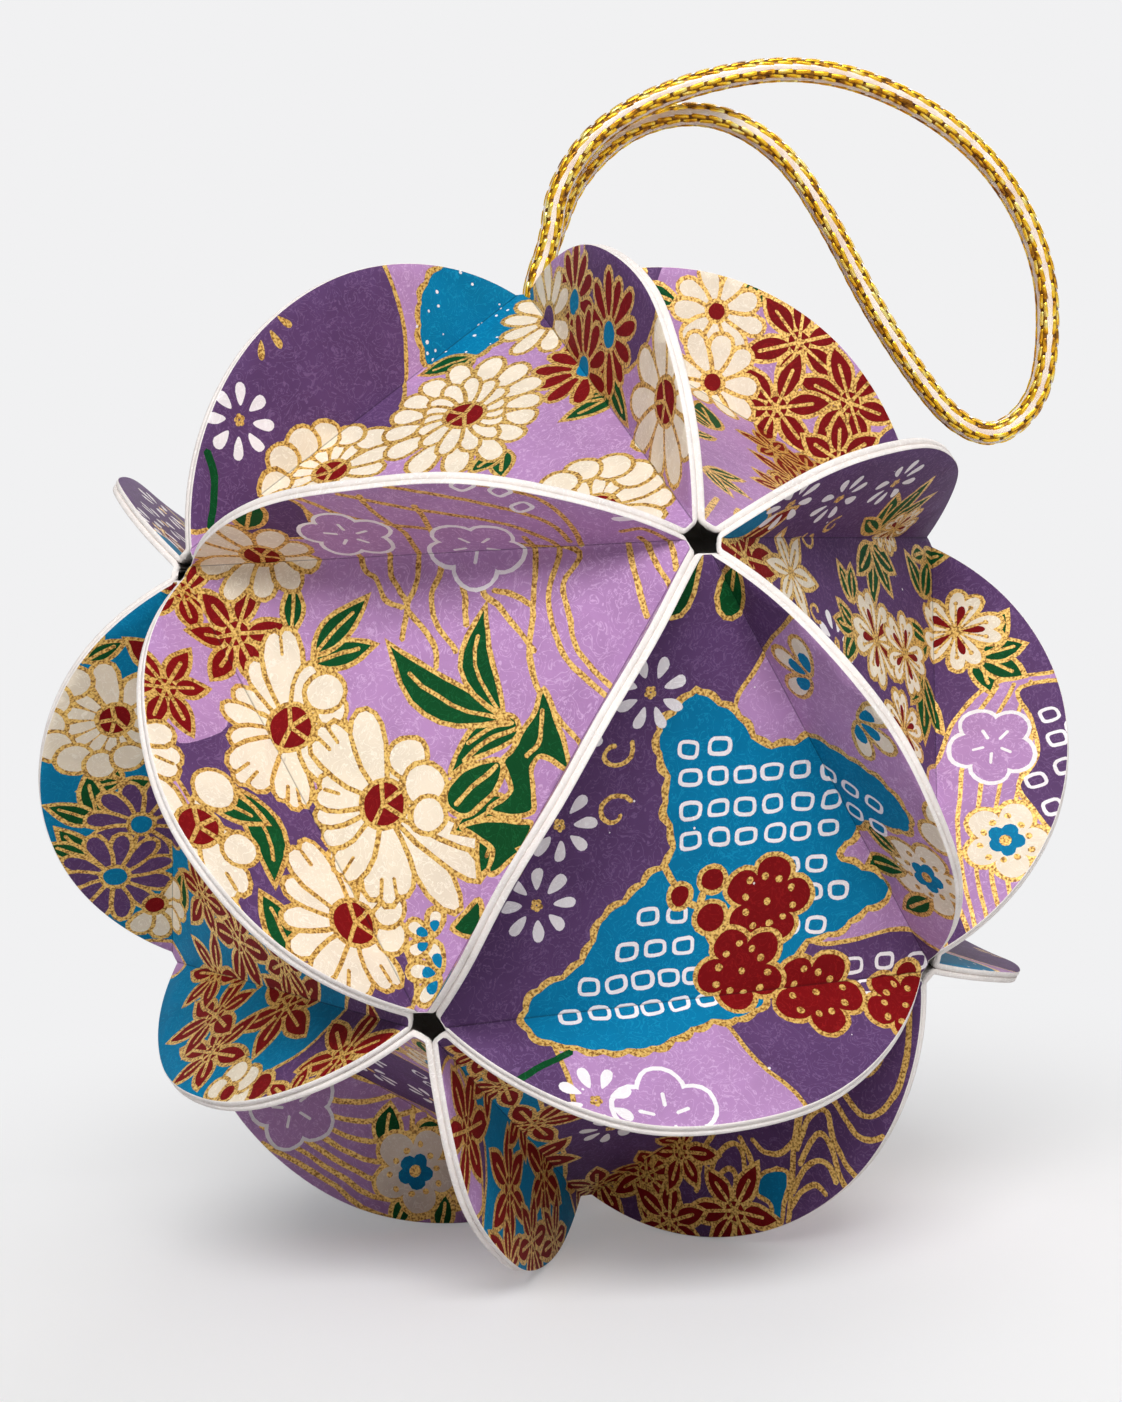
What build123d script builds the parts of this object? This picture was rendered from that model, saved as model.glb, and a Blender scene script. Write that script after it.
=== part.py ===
from build123d import *
import os
from math import asin, atan, cos, degrees, hypot, pi, radians, sin, sqrt, tan

os.makedirs("parts", exist_ok=True)

# Hanging paper ball made of twenty round card discs
# Each disc is creased on the three sides of a triangle, and its three flaps stand up from it.
# The triangles are the faces of an icosahedron, and each flap is glued back to back with the next disc's.
# Z is up through the corner that the cord comes out of, and z = 0 is the surface that the ball stands on.
# All sizes are in millimetres.

# Round card disc
disc_diameter = 50.8
sheet_thickness = 0.55
crease_inner_radius = 0.15
corner_land = 0.6

# Hanging cord, doubled into a loop
cord_diameter = 2.4
strand_gap = 0.1
cord_hole_clearance = 0.15

# Knot that keeps the cord in the ball
knot_diameter = 10.0
knot_clearance = 0.3
knot_tail_length = 8.0
knot_tail_lean = 16.0

# Angles of a regular icosahedron, seen from its centre
golden_ratio = (1 + sqrt(5)) / 2
face_to_edge = degrees(atan(1 / golden_ratio**2))
edge_to_corner = degrees(atan(1 / golden_ratio))
face_to_corner = degrees(atan(2 / golden_ratio**2))
fold_angle = 90 - face_to_edge

# Flat disc: where each bend begins and ends, measured from the disc's centre
disc_radius = disc_diameter / 2
land_half_angle = degrees(asin(corner_land / disc_diameter))
bend_start = disc_radius * cos(radians(60 - land_half_angle))
bend_length = radians(fold_angle) * (crease_inner_radius + sheet_thickness / 2)
bend_end = bend_start + bend_length
flap_half_width = sqrt(disc_radius**2 - bend_end**2)

# Folded disc in the ball: the back of the sheet, measured from the ball's centre
crease_outer_radius = crease_inner_radius + sheet_thickness
bend_setback = crease_outer_radius * tan(radians(fold_angle / 2))
edge_offset = bend_start + bend_setback
face_distance = edge_offset / tan(radians(face_to_edge))
edge_distance = hypot(face_distance, edge_offset)
flap_root = edge_distance + bend_setback
flap_arc_centre = flap_root - bend_end
flap_tip = flap_arc_centre + disc_radius

# The ball stands on the five double flaps round its bottom corner
ball_centre_height = flap_arc_centre * cos(radians(edge_to_corner)) + disc_radius
ball_centre = Vector(0, 0, ball_centre_height)

# The top hole lets both strands of the cord through, side by side
strand_offset = (cord_diameter + strand_gap) / 2
cord_hole_radius = strand_offset + cord_diameter / 2 + cord_hole_clearance


# Folded disc, its triangle facing +Z, with the middle of the ball at the origin
crease_side = 2 * bend_start * sqrt(3)

with BuildPart() as crease_bend:
    with BuildSketch(Plane((bend_start, 0, face_distance), (0, 1, 0), (1, 0, 0))):
        Rectangle(crease_side, sheet_thickness, align=(Align.CENTER, Align.MIN))
    bend_axis = Axis((bend_start, 0, face_distance + crease_outer_radius), (0, -1, 0))
    revolve(axis=bend_axis, revolution_arc=fold_angle)

with BuildPart() as standing_flap:
    flap_front = (-sin(radians(fold_angle)), 0, cos(radians(fold_angle)))
    with BuildSketch(Plane((0, 0, 0), (0, -1, 0), flap_front)):
        with BuildLine():
            rim = ThreePointArc(
                (-flap_half_width, flap_root),
                (0, flap_tip),
                (flap_half_width, flap_root),
            )
            Line(rim @ 1, rim @ 0)
        make_face()
    extrude(amount=sheet_thickness)

with BuildPart() as folded_disc:
    with BuildSketch(Plane.XY.offset(face_distance)):
        RegularPolygon(bend_start, 3, major_radius=False, rotation=60)
    extrude(amount=sheet_thickness)
    with PolarLocations(0, 3):
        add(crease_bend.part)
    # The punched rim cuts the triangle's corners and the ends of the bends
    with Locations((0, 0, face_distance)):
        Cylinder(disc_radius, disc_radius, mode=Mode.INTERSECT)
    with PolarLocations(0, 3):
        add(standing_flap.part)


# Place of a face: its outward direction, and a flap that leans up or down the ball
def face_place(from_top, turn, flap_leans):
    tilt = radians(from_top)
    swing = radians(turn)
    outward = Vector(sin(tilt) * cos(swing), sin(tilt) * sin(swing), cos(tilt))
    downward = Vector(cos(tilt) * cos(swing), cos(tilt) * sin(swing), -sin(tilt))
    flap_direction = downward if flap_leans == "down" else -downward
    return Plane(ball_centre, flap_direction, outward)


# Four rows of five discs, from the cord's corner down
fifth_turn = 360 / 5
half_step = fifth_turn / 2
waist_tilt = face_to_corner + 2 * face_to_edge
disc_rows = [
    ("top_disc", face_to_corner, half_step, "down"),
    ("upper_disc", waist_tilt, half_step, "up"),
    ("lower_disc", 180 - waist_tilt, 0, "down"),
    ("bottom_disc", 180 - face_to_corner, 0, "up"),
]

for row_name, from_top, first_turn, flap_leans in disc_rows:
    for number in range(5):
        place = face_place(from_top, first_turn + number * fifth_turn, flap_leans)
        with BuildPart() as row_disc:
            with Locations(place):
                add(folded_disc.part)
            # The corners under the cord are snipped round so that both strands pass
            if row_name == "top_disc":
                with Locations((0, 0, ball_centre_height + edge_distance)):
                    Cylinder(cord_hole_radius, edge_distance, mode=Mode.SUBTRACT)
        row_disc.part.label = f"{row_name}_{number + 1}"
        export_step(row_disc.part, f"parts/{row_disc.part.label}.step")


# Cord knot: a tight round knot under the top hole, flat where the strands come out of it
knot_radius = knot_diameter / 2
knot_centre_drop = (face_distance - knot_radius - knot_clearance) / cos(radians(face_to_corner))
knot_centre_height = ball_centre_height + knot_centre_drop
knot_top_rise = sqrt(knot_radius**2 - cord_hole_radius**2)
knot_top_height = knot_centre_height + knot_top_rise

with BuildPart() as cord_knot:
    with Locations((0, 0, knot_centre_height)):
        Sphere(knot_radius)
    split(bisect_by=Plane.XY.offset(knot_top_height), keep=Keep.BOTTOM)
    # The two cut tails of the cord
    for lean in (-knot_tail_lean, knot_tail_lean):
        with Locations(Location((0, 0, knot_centre_height), (180 + lean, 0, 0))):
            Cylinder(
                cord_diameter / 2,
                knot_radius + knot_tail_length,
                align=(Align.CENTER, Align.CENTER, Align.MIN),
            )

cord_knot.part.label = "cord_knot"
export_step(cord_knot.part, "parts/cord_knot.step")


# Hanging cord: out of the knot on the near side of the hole, round the loop, back on the far side
cord_route = [
    (0.0, -strand_offset, knot_top_height),
    (0.0, -strand_offset, 91.6),
    (2.2, -1.3, 96.4),
    (3.0, -1.6, 101.6),
    (7.6, -1.9, 107.4),
    (17.0, -2.0, 111.2),
    (28.4, -1.9, 112.2),
    (39.0, -1.2, 108.2),
    (47.0, 0.2, 101.4),
    (51.4, 1.8, 92.4),
    (51.6, 3.2, 83.8),
    (50.2, 4.0, 78.6),
    (46.1, 4.2, 75.5),
    (41.9, 3.9, 77.4),
    (38.2, 3.3, 82.2),
    (34.1, 2.8, 89.0),
    (30.4, 2.3, 97.0),
    (25.9, 2.0, 104.9),
    (18.8, 1.8, 109.3),
    (10.9, 1.6, 108.3),
    (4.9, 1.4, 103.3),
    (2.4, 1.3, 97.6),
    (0.0, strand_offset, 91.9),
    (0.0, strand_offset, knot_top_height),
]

# Each bend takes 0.45 of its shorter run, so it is as round as its runs allow
bend_share = 0.45
cord_points = [Vector(*point) for point in cord_route]
cord_runs = [end - start for start, end in zip(cord_points, cord_points[1:])]
cord_radii = []
for run_in, run_out in zip(cord_runs, cord_runs[1:]):
    half_turn = radians(run_in.get_angle(run_out) / 2)
    cord_radii.append(bend_share * min(run_in.length, run_out.length) / tan(half_turn))
print("cord bend radii", [round(radius, 1) for radius in cord_radii])

with BuildPart() as hanging_cord:
    with BuildLine() as cord_line:
        FilletPolyline(*cord_points, radius=cord_radii)
    with BuildSketch(Plane.XY.offset(knot_top_height)):
        with Locations((0, -strand_offset)):
            Circle(cord_diameter / 2)
    sweep(path=cord_line.wires()[0])

cord_length = cord_line.wires()[0].length
cord_section = pi * (cord_diameter / 2) ** 2
print("cord length", round(cord_length, 1))
print("cord volume against section times length", hanging_cord.part.volume / (cord_section * cord_length))

hanging_cord.part.label = "hanging_cord"
export_step(hanging_cord.part, "parts/hanging_cord.step")
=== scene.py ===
import bpy
import numpy as np
from math import asin, atan, cos, degrees, hypot, pi, radians, sin, sqrt, tan
from mathutils import Matrix, Vector, noise
from mathutils.geometry import delaunay_2d_cdt


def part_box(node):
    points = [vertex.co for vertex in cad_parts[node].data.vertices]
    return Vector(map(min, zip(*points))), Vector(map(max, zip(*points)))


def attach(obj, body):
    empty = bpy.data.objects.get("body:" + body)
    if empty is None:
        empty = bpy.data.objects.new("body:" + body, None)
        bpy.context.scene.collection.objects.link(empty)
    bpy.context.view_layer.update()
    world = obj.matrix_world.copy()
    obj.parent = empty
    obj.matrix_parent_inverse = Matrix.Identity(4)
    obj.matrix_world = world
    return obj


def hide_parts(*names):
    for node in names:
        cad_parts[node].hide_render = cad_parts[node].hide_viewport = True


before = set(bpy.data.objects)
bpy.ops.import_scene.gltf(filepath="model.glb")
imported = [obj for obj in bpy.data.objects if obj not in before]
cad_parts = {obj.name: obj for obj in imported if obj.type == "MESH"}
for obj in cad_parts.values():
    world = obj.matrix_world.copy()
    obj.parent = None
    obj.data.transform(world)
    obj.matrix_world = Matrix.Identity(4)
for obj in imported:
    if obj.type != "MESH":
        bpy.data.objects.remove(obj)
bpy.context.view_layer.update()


# The view of the ball: a close look from a little above the middle, turned slightly clockwise.
# The lens is stated for a frame whose long side is 36 mm.
camera_place = Vector((-0.00216, -0.19828, 0.0592))
camera_lens = 51.44
camera_yaw = radians(0.84)
camera_pitch = radians(-2.19)
camera_roll = radians(-3.12)


def placed(name, data):
    """A new object in the scene."""
    placed_object = bpy.data.objects.new(name, data)
    bpy.context.scene.collection.objects.link(placed_object)
    return placed_object


def aim_camera():
    level_reach = cos(camera_pitch)
    forward = Vector((sin(camera_yaw) * level_reach, cos(camera_yaw) * level_reach, sin(camera_pitch)))
    level = forward.cross(Vector((0, 0, 1))).normalized()
    right = level * cos(camera_roll) + level.cross(forward) * sin(camera_roll)
    up = right.cross(forward)
    camera = placed("camera", bpy.data.cameras.new("camera"))
    camera.data.sensor_width = 36
    camera.data.lens = camera_lens
    camera.data.clip_start = 0.005
    camera.data.clip_end = 10
    axes = Matrix((right, up, -forward)).transposed()
    camera.matrix_world = Matrix.Translation(camera_place) @ axes.to_4x4()
    bpy.context.scene.camera = camera


aim_camera()


# The hanging cord: a springy round cord, doubled into a loop that leaves the ball through the top hole.
# A smooth cream core carries rows of short gold foil links, woven in lengthways under a clear coat.
# It stands in an arch of its own accord, and its two ends go into the knot inside the ball.
cord_diameter = 0.0024
strand_offset = 0.00125
knot_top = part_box("cord_knot")[1].z
cord_route = [
    (0.0, -strand_offset, knot_top),
    (0.0, -strand_offset, 0.0916),
    (0.0022, -0.0013, 0.0964),
    (0.0030, -0.0016, 0.1016),
    (0.0076, -0.0019, 0.1074),
    (0.0170, -0.0020, 0.1112),
    (0.0284, -0.0019, 0.1122),
    (0.0390, -0.0012, 0.1082),
    (0.0470, 0.0002, 0.1014),
    (0.0514, 0.0018, 0.0924),
    (0.0516, 0.0032, 0.0838),
    (0.0502, 0.0040, 0.0786),
    (0.0461, 0.0042, 0.0755),
    (0.0419, 0.0039, 0.0774),
    (0.0382, 0.0033, 0.0822),
    (0.0341, 0.0028, 0.0890),
    (0.0304, 0.0023, 0.0970),
    (0.0259, 0.0020, 0.1049),
    (0.0188, 0.0018, 0.1093),
    (0.0109, 0.0016, 0.1083),
    (0.0049, 0.0014, 0.1033),
    (0.0024, 0.0013, 0.0976),
    (0.0, strand_offset, 0.0919),
    (0.0, strand_offset, knot_top),
]
core_radius = 0.00107

# The foil: five rows, each a flat strip under two lines of domed links that lean a little to the sides
link_rows = 5
link_length = 0.00154
link_pitch = 0.00176
link_half_angle = radians(12)
link_slant = 0.12
link_rise = 0.00013
link_tuck = 0.00002
row_stagger = 0.37
strip_half_angle = radians(25)
strip_rise = 0.00003


def linear(*levels):
    """A colour as it looks on a screen, in levels from 0 to 255, as Blender's own numbers."""
    shares = [level / 255 for level in levels]
    return tuple(((s + 0.055) / 1.055) ** 2.4 if s > 0.04 else s / 12.92 for s in shares) + (1.0,)


def new_material(name):
    material = bpy.data.materials.new(name)
    material.use_nodes = True
    return material, material.node_tree.nodes, material.node_tree.links


def ramp(nodes, places_and_colours):
    """A colour ramp with a stop at each place."""
    node = nodes.new("ShaderNodeValToRGB")
    stops = node.color_ramp.elements
    for _ in range(len(places_and_colours) - 2):
        stops.new(0.5)
    for stop, (place, colour) in zip(stops, places_and_colours):
        stop.position = place
        stop.color = colour
    return node


def object_noise(nodes, links, scale, detail=2.0, distortion=0.0):
    """Noise fixed to the object, with scale in waves a metre."""
    place = nodes.new("ShaderNodeTexCoord")
    texture = nodes.new("ShaderNodeTexNoise")
    texture.inputs["Scale"].default_value = scale
    texture.inputs["Detail"].default_value = detail
    texture.inputs["Distortion"].default_value = distortion
    links.new(place.outputs["Object"], texture.inputs["Vector"])
    return texture.outputs["Fac"]


def raised(nodes, links, surface, height, strength, distance):
    """Roughens a surface with a height, whose full rise is a distance in metres."""
    bump = nodes.new("ShaderNodeBump")
    bump.inputs["Strength"].default_value = strength
    bump.inputs["Distance"].default_value = distance
    links.new(height, bump.inputs["Height"])
    links.new(bump.outputs["Normal"], surface.inputs["Normal"])


def cord_core_material():
    material, nodes, links = new_material("cream_cord_core")
    surface = nodes["Principled BSDF"]
    tint = ramp(nodes, [(0.35, linear(236, 214, 196)), (0.65, linear(252, 240, 226))])
    links.new(object_noise(nodes, links, 420), tint.inputs["Fac"])
    links.new(tint.outputs["Color"], surface.inputs["Base Color"])
    surface.inputs["Roughness"].default_value = 0.28
    surface.inputs["Coat Weight"].default_value = 0.6
    surface.inputs["Coat Roughness"].default_value = 0.12
    return material


def gold_foil_material():
    """Crinkled gold foil, pale where it catches the light and amber where it turns away."""
    material, nodes, links = new_material("gold_foil")
    surface = nodes["Principled BSDF"]
    crinkle = object_noise(nodes, links, 760, 1.0)
    tint = ramp(
        nodes,
        [
            (0.33, linear(150, 96, 10)),
            (0.4, linear(238, 172, 24)),
            (0.55, linear(254, 206, 48)),
            (0.68, linear(255, 236, 140)),
        ],
    )
    links.new(crinkle, tint.inputs["Fac"])
    links.new(tint.outputs["Color"], surface.inputs["Base Color"])
    raised(nodes, links, surface, crinkle, 0.3, 0.0001)
    surface.inputs["Metallic"].default_value = 0.65
    surface.inputs["Roughness"].default_value = 0.26
    return material


def painted_shade_foil_material():
    """The foil strip under the links, coloured dark amber as painted shade, so that it shows as dark lines
    between them.
    """
    material, nodes, links = new_material("painted_shade_foil")
    surface = nodes["Principled BSDF"]
    tint = ramp(nodes, [(0.4, linear(84, 48, 6)), (0.6, linear(150, 98, 16))])
    links.new(object_noise(nodes, links, 2200), tint.inputs["Fac"])
    links.new(tint.outputs["Color"], surface.inputs["Base Color"])
    surface.inputs["Metallic"].default_value = 0.6
    surface.inputs["Roughness"].default_value = 0.4
    return material


def add_spline(curve, kind, places):
    spline = curve.splines.new(kind)
    spline.points.add(len(places) - 1)
    for point, place in zip(spline.points, places):
        point.co = (*place, 1)
    return spline


def cord_curve():
    curve = bpy.data.curves.new("gold_cord", "CURVE")
    curve.dimensions = "3D"
    curve.resolution_u = 16
    spline = add_spline(curve, "NURBS", cord_route)
    spline.order_u = 3
    spline.use_endpoint_u = True
    return placed("gold_cord", curve)


def centreline(curve_object):
    """A function that gives the place and direction at a distance along a curve, and the curve's length."""
    bpy.context.view_layer.update()
    mesh = bpy.data.meshes.new_from_object(curve_object)
    line = np.array([vertex.co for vertex in mesh.vertices])
    bpy.data.meshes.remove(mesh)
    travel = np.r_[0, np.cumsum(np.linalg.norm(np.diff(line, axis=0), axis=1))]
    look_ahead = 0.0004

    def place_at(distance):
        return np.array([np.interp(distance, travel, line[:, axis]) for axis in range(3)])

    def at(distance):
        direction = place_at(distance + look_ahead) - place_at(distance - look_ahead)
        return place_at(distance), direction / np.linalg.norm(direction)

    return at, travel[-1]


def new_piece(name, vertices, faces, materials, slots):
    """A smooth mesh piece. Its slots give the material of each face, by its number."""
    mesh = bpy.data.meshes.new(name)
    mesh.from_pydata([tuple(v) for v in vertices], [], [tuple(f) for f in faces])
    for material in materials:
        mesh.materials.append(material)
    mesh.polygons.foreach_set("material_index", slots)
    mesh.polygons.foreach_set("use_smooth", [True] * len(mesh.polygons))
    mesh.update()
    piece = placed(name, mesh)
    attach(piece, "root")
    return piece


def round_cord(at, distance, turn, height):
    """The point at a distance along the cord, a turn round it and a height from its centreline.
    The turn starts from the side that faces the front."""
    here, direction = at(distance)
    toward = np.array([0.0, -1.0, 0.0])
    toward = toward - direction * toward.dot(direction)
    toward /= np.linalg.norm(toward)
    side = np.cross(direction, toward)
    return here + (toward * cos(turn) + side * sin(turn)) * height


def foil_links(at, length, radius):
    """Rows of foil along a cord: a flat strip, dark with painted shade, under two lines of domed links, laid
    like bricks.
    """
    plump = [(-0.5, 0.0), (-0.4, 0.8), (-0.15, 1.0), (0.15, 1.0), (0.4, 0.8), (0.5, 0.0)]
    vertices = []
    faces = []
    slots = []

    def add_grid(rows, slot):
        first, width = len(vertices), len(rows[0])
        vertices.extend(point for row in rows for point in row)
        for i in range(len(rows) - 1):
            for j in range(width - 1):
                corner = first + i * width + j
                faces.append((corner, corner + 1, corner + width + 1, corner + width))
                slots.append(slot)

    for row in range(link_rows):
        turn = 2 * pi * (row + 0.5) / link_rows
        strip = []
        for distance in np.arange(0, length, link_pitch / 2):
            heights = [-strip_rise, strip_rise, strip_rise, strip_rise, -strip_rise]
            angles = turn + np.linspace(-1, 1, 5) * strip_half_angle
            strip.append([round_cord(at, distance, a, radius + h) for a, h in zip(angles, heights)])
        add_grid(strip, 1)
        for line in (-1, 1):
            for number in range(int(length / link_pitch) - 1):
                middle = (number + 0.75 + 0.25 * line + row_stagger * row % 1) * link_pitch
                if middle + link_length / 2 > length:
                    continue
                link = []
                for share, height in plump:
                    centre = turn + line * link_half_angle + line * link_slant * share
                    ring = []
                    for step in (-1, -0.6, 0, 0.6, 1):
                        rise = link_rise * height * (1 - step**4) - link_tuck * (step**4 + (height == 0))
                        angle = centre + step * link_half_angle * (0.8 + 0.2 * height)
                        ring.append(round_cord(at, middle + share * link_length, angle, radius + rise))
                    link.append(ring)
                add_grid(link, 0)
    return vertices, faces, slots


cream_core = cord_core_material()
gold_foil = gold_foil_material()
hanging_cord = cord_curve()
along_cord, spline_length = centreline(hanging_cord)
link_vertices, link_faces, link_slots = foil_links(along_cord, spline_length, core_radius)
# The strip between the links is coloured as painted shade
painted_shade_foil = painted_shade_foil_material()
cord_links = new_piece("gold_cord_links", link_vertices, link_faces, [gold_foil, painted_shade_foil], link_slots)
hanging_cord.data.bevel_depth = core_radius
hanging_cord.data.bevel_resolution = 6
hanging_cord.data.materials.append(cream_core)
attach(hanging_cord, "root")
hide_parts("hanging_cord")


# The knot that keeps the cord in the ball: both strands tied together in one tight overhand knot,
# with two short tails cut off below it. It is too big for the top hole and lies just under it.
cord_hole_radius = 0.0026
knot_radius = 0.005
knot_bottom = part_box("cord_knot")[0].z
knot_centre = Vector((0, 0, knot_top - sqrt(knot_radius**2 - cord_hole_radius**2)))
knot_steps = 90
tail_lean = radians(16)


def knot_lines():
    """The overhand knot's own turn, and the tails that leave it."""
    reach = knot_radius - cord_diameter / 2
    turns = []
    for step in range(knot_steps):
        t = 2 * pi * step / knot_steps
        swell = 0.62 + 0.38 * cos(3 * t)
        flat = Vector((cos(2 * t) * swell, sin(2 * t) * swell, 0.72 * sin(3 * t)))
        turns.append(knot_centre + flat * reach)
    tails = []
    for side in (-1, 1):
        lean = tail_lean * side
        tip = knot_centre + Vector((0, sin(lean), -cos(lean))) * (knot_centre.z - knot_bottom)
        tails.append([knot_centre, knot_centre.lerp(tip, 0.5), tip])
    return turns, tails


def knot_curve():
    curve = bpy.data.curves.new("cord_knot_turns", "CURVE")
    curve.dimensions = "3D"
    curve.resolution_u = 6
    curve.bevel_depth = cord_diameter / 2
    curve.bevel_resolution = 5
    curve.use_fill_caps = True
    turns, tails = knot_lines()
    knot = add_spline(curve, "POLY", turns)
    knot.use_cyclic_u = True
    for tail in tails:
        add_spline(curve, "POLY", tail)
    curve.materials.append(cream_core)
    curve.materials.append(gold_foil)
    curve.splines[0].material_index = 1
    return placed("cord_knot_turns", curve)


cord_knot = knot_curve()
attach(cord_knot, "root")
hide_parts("cord_knot")


# The twenty card discs: how each one is creased and where its face lies in the ball.
# The sheet is thin card faced with printed paper, scored on the three sides of a triangle, and its
# three flaps stand up to be glued back to back with the next discs' flaps. Sizes are in metres.
disc_radius = 0.0254
sheet_thickness = 0.00055
crease_inner_radius = 0.00015
corner_land = 0.0006
golden_ratio = (1 + sqrt(5)) / 2
face_to_edge = atan(1 / golden_ratio**2)
edge_to_corner = atan(1 / golden_ratio)
face_to_corner = atan(2 / golden_ratio**2)
fold_angle = pi / 2 - face_to_edge
crease_outer_radius = crease_inner_radius + sheet_thickness
bend_start = disc_radius * cos(pi / 3 - asin(corner_land / (2 * disc_radius)))
bend_length = fold_angle * (crease_inner_radius + sheet_thickness / 2)
bend_end = bend_start + bend_length
edge_offset = bend_start + crease_outer_radius * tan(fold_angle / 2)
face_distance = edge_offset / tan(face_to_edge)
edge_distance = hypot(face_distance, edge_offset)
flap_arc_centre = edge_distance + crease_outer_radius * tan(fold_angle / 2) - bend_end
flap_height = flap_arc_centre + disc_radius - edge_distance
ball_centre = np.array([0, 0, flap_arc_centre * cos(edge_to_corner) + disc_radius])

# The ball is glued by hand, so its corners and double flaps lie a little off true: how far, in metres.
# Each double flap is named by the two corners that it joins, and its lean is that of its tip.
corner_names = ["top", "bottom"]
corner_names += [f"upper_{number}" for number in range(1, 6)]
corner_names += [f"lower_{number}" for number in range(1, 6)]
corner_shift = {
    "top": (-0.0004, 0.0, 0.0014),
    "bottom": (0.0, -0.00045, 0.0),
    "upper_5": (0.00026, 0.00005, -0.00049),
    "upper_4": (-0.00028, 0.0, 0.00006),
    "upper_1": (-0.00163, 0.00025, -0.00019),
    "lower_4": (0.00002, -0.00007, 0.00049),
    "lower_5": (0.00011, 0.00005, 0.00032),
    "lower_3": (0.00071, 0.00027, 0.0013),
}
flap_lean = {
    ("upper_5", "upper_4"): 0.00152,
    ("upper_4", "lower_4"): -0.0025,
    ("upper_5", "lower_4"): -0.00055,
    ("lower_4", "lower_5"): -0.0029,
    ("upper_5", "lower_5"): -0.00176,
    ("upper_5", "top"): -0.00074,
    ("upper_5", "upper_1"): 0.00088,
    ("upper_4", "top"): 0.00037,
    ("upper_4", "lower_3"): -0.00008,
    ("lower_4", "lower_3"): 0.0018,
    ("lower_4", "bottom"): 0.00079,
    ("lower_5", "bottom"): -0.0002,
    ("lower_5", "upper_1"): -0.00007,
    ("upper_1", "top"): -0.00117,
    ("upper_4", "upper_3"): -0.0031,
    ("lower_5", "lower_1"): 0.0028,
}
long_wave_height = 0.00016
long_wave_length = 0.0052
short_wave_height = 0.00012
short_wave_length = 0.0027


def corner_direction(name):
    if name in ("top", "bottom"):
        return np.array([0.0, 0.0, 1.0 if name == "top" else -1.0])
    row, number = name.split("_")
    height = 1 / sqrt(5) if row == "upper" else -1 / sqrt(5)
    turn = radians(72 * (int(number) - 1) + (0 if row == "upper" else 36))
    return np.array([2 / sqrt(5) * cos(turn), 2 / sqrt(5) * sin(turn), height])


def face_axes(row, number):
    """A face's own axes: the way that its first flap points, the way across, and outward."""
    from_top, first_turn, leans_down = {
        "top_disc": (face_to_corner, 36, True),
        "upper_disc": (face_to_corner + 2 * face_to_edge, 36, False),
        "lower_disc": (pi - face_to_corner - 2 * face_to_edge, 0, True),
        "bottom_disc": (pi - face_to_corner, 0, False),
    }[row]
    swing = radians(first_turn + 72 * (number - 1))
    outward = np.array([sin(from_top) * cos(swing), sin(from_top) * sin(swing), cos(from_top)])
    along = np.array([cos(from_top) * cos(swing), cos(from_top) * sin(swing), -sin(from_top)])
    along = along if leans_down else -along
    return np.array([along, np.cross(outward, along), outward])


def nearest_corner(direction):
    return max(corner_names, key=lambda name: float(corner_direction(name).dot(direction)))


def creased(flat, front):
    """Points of the flat sheet, as complex numbers in metres, creased in the face's own axes."""
    places = np.stack([flat.real, flat.imag, np.full(flat.shape, face_distance)], axis=-1)
    if front:
        places[:, 2] += sheet_thickness
    for flap in range(3):
        turn = np.exp(1j * 2 * pi / 3 * flap)
        turned = flat / turn
        bent = turned.real > bend_start
        angle = np.clip((turned.real - bend_start) / bend_length, 0, 1) * fold_angle
        beyond = np.maximum(turned.real - bend_end, 0)
        radius = crease_inner_radius if front else crease_outer_radius
        outward = bend_start + radius * np.sin(angle) + beyond * cos(fold_angle)
        upward = face_distance + crease_outer_radius - radius * np.cos(angle) + beyond * sin(fold_angle)
        folded = (outward + 1j * turned.imag) * turn
        places[bent] = np.stack([folded.real, folded.imag, upward], axis=-1)[bent]
    return places


def flap_wave(pair, along, rise):
    """A gentle warp of one double flap, the same for both of its sheets, with a phase from its name."""
    phase = sum(map(ord, pair[0] + pair[1])) % 17
    share = np.clip(rise / flap_height, 0, 1)
    long_wave = long_wave_height * share * np.sin(along / long_wave_length + phase)
    short_wave = short_wave_height * share * np.sin(along / short_wave_length + 2 * phase)
    return long_wave + short_wave


def in_ball(flat, front, axes):
    """Points of the flat sheet, in the finished ball."""
    places = creased(flat, front) @ axes
    corners = []
    for number in range(3):
        turn = pi / 3 + 2 * pi / 3 * number
        way = axes[0] * cos(turn) + axes[1] * sin(turn)
        corners.append(nearest_corner(axes[2] * cos(face_to_corner) + way * sin(face_to_corner)))
    onto = flat.copy()
    for flap in range(3):
        turn = np.exp(1j * 2 * pi / 3 * flap)
        over = np.maximum((onto / turn).real - edge_offset, 0)
        onto = onto - over * turn
    shift = np.zeros(places.shape)
    for number, corner in enumerate(corners):
        turn = np.exp(1j * (pi / 3 + 2 * pi / 3 * number))
        share = ((onto / turn).real + edge_offset) / (3 * edge_offset)
        shift += share[:, None] * np.array(corner_shift.get(corner, (0, 0, 0)))
    for flap in range(3):
        turn = np.exp(1j * 2 * pi / 3 * flap)
        ends = (corners[(flap + 2) % 3], corners[flap])
        pair = ends if ends in flap_lean else ends[::-1]
        if pair not in flap_lean:
            pair = tuple(sorted(ends))
        start, end = (corner_direction(name) for name in pair)
        upright = (start + end) / np.linalg.norm(start + end)
        edge = (end - start) / np.linalg.norm(end - start)
        sideways = np.cross(upright, edge)
        rise = np.clip(places @ upright - edge_distance, 0, None)
        lean = flap_lean.get(pair, 0.0) * rise / flap_height + flap_wave(pair, places @ edge, rise)
        on_flap = (flat / turn).real > bend_start
        shift += np.where(on_flap, lean, 0)[:, None] * sideways
    return places + shift + ball_centre


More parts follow.
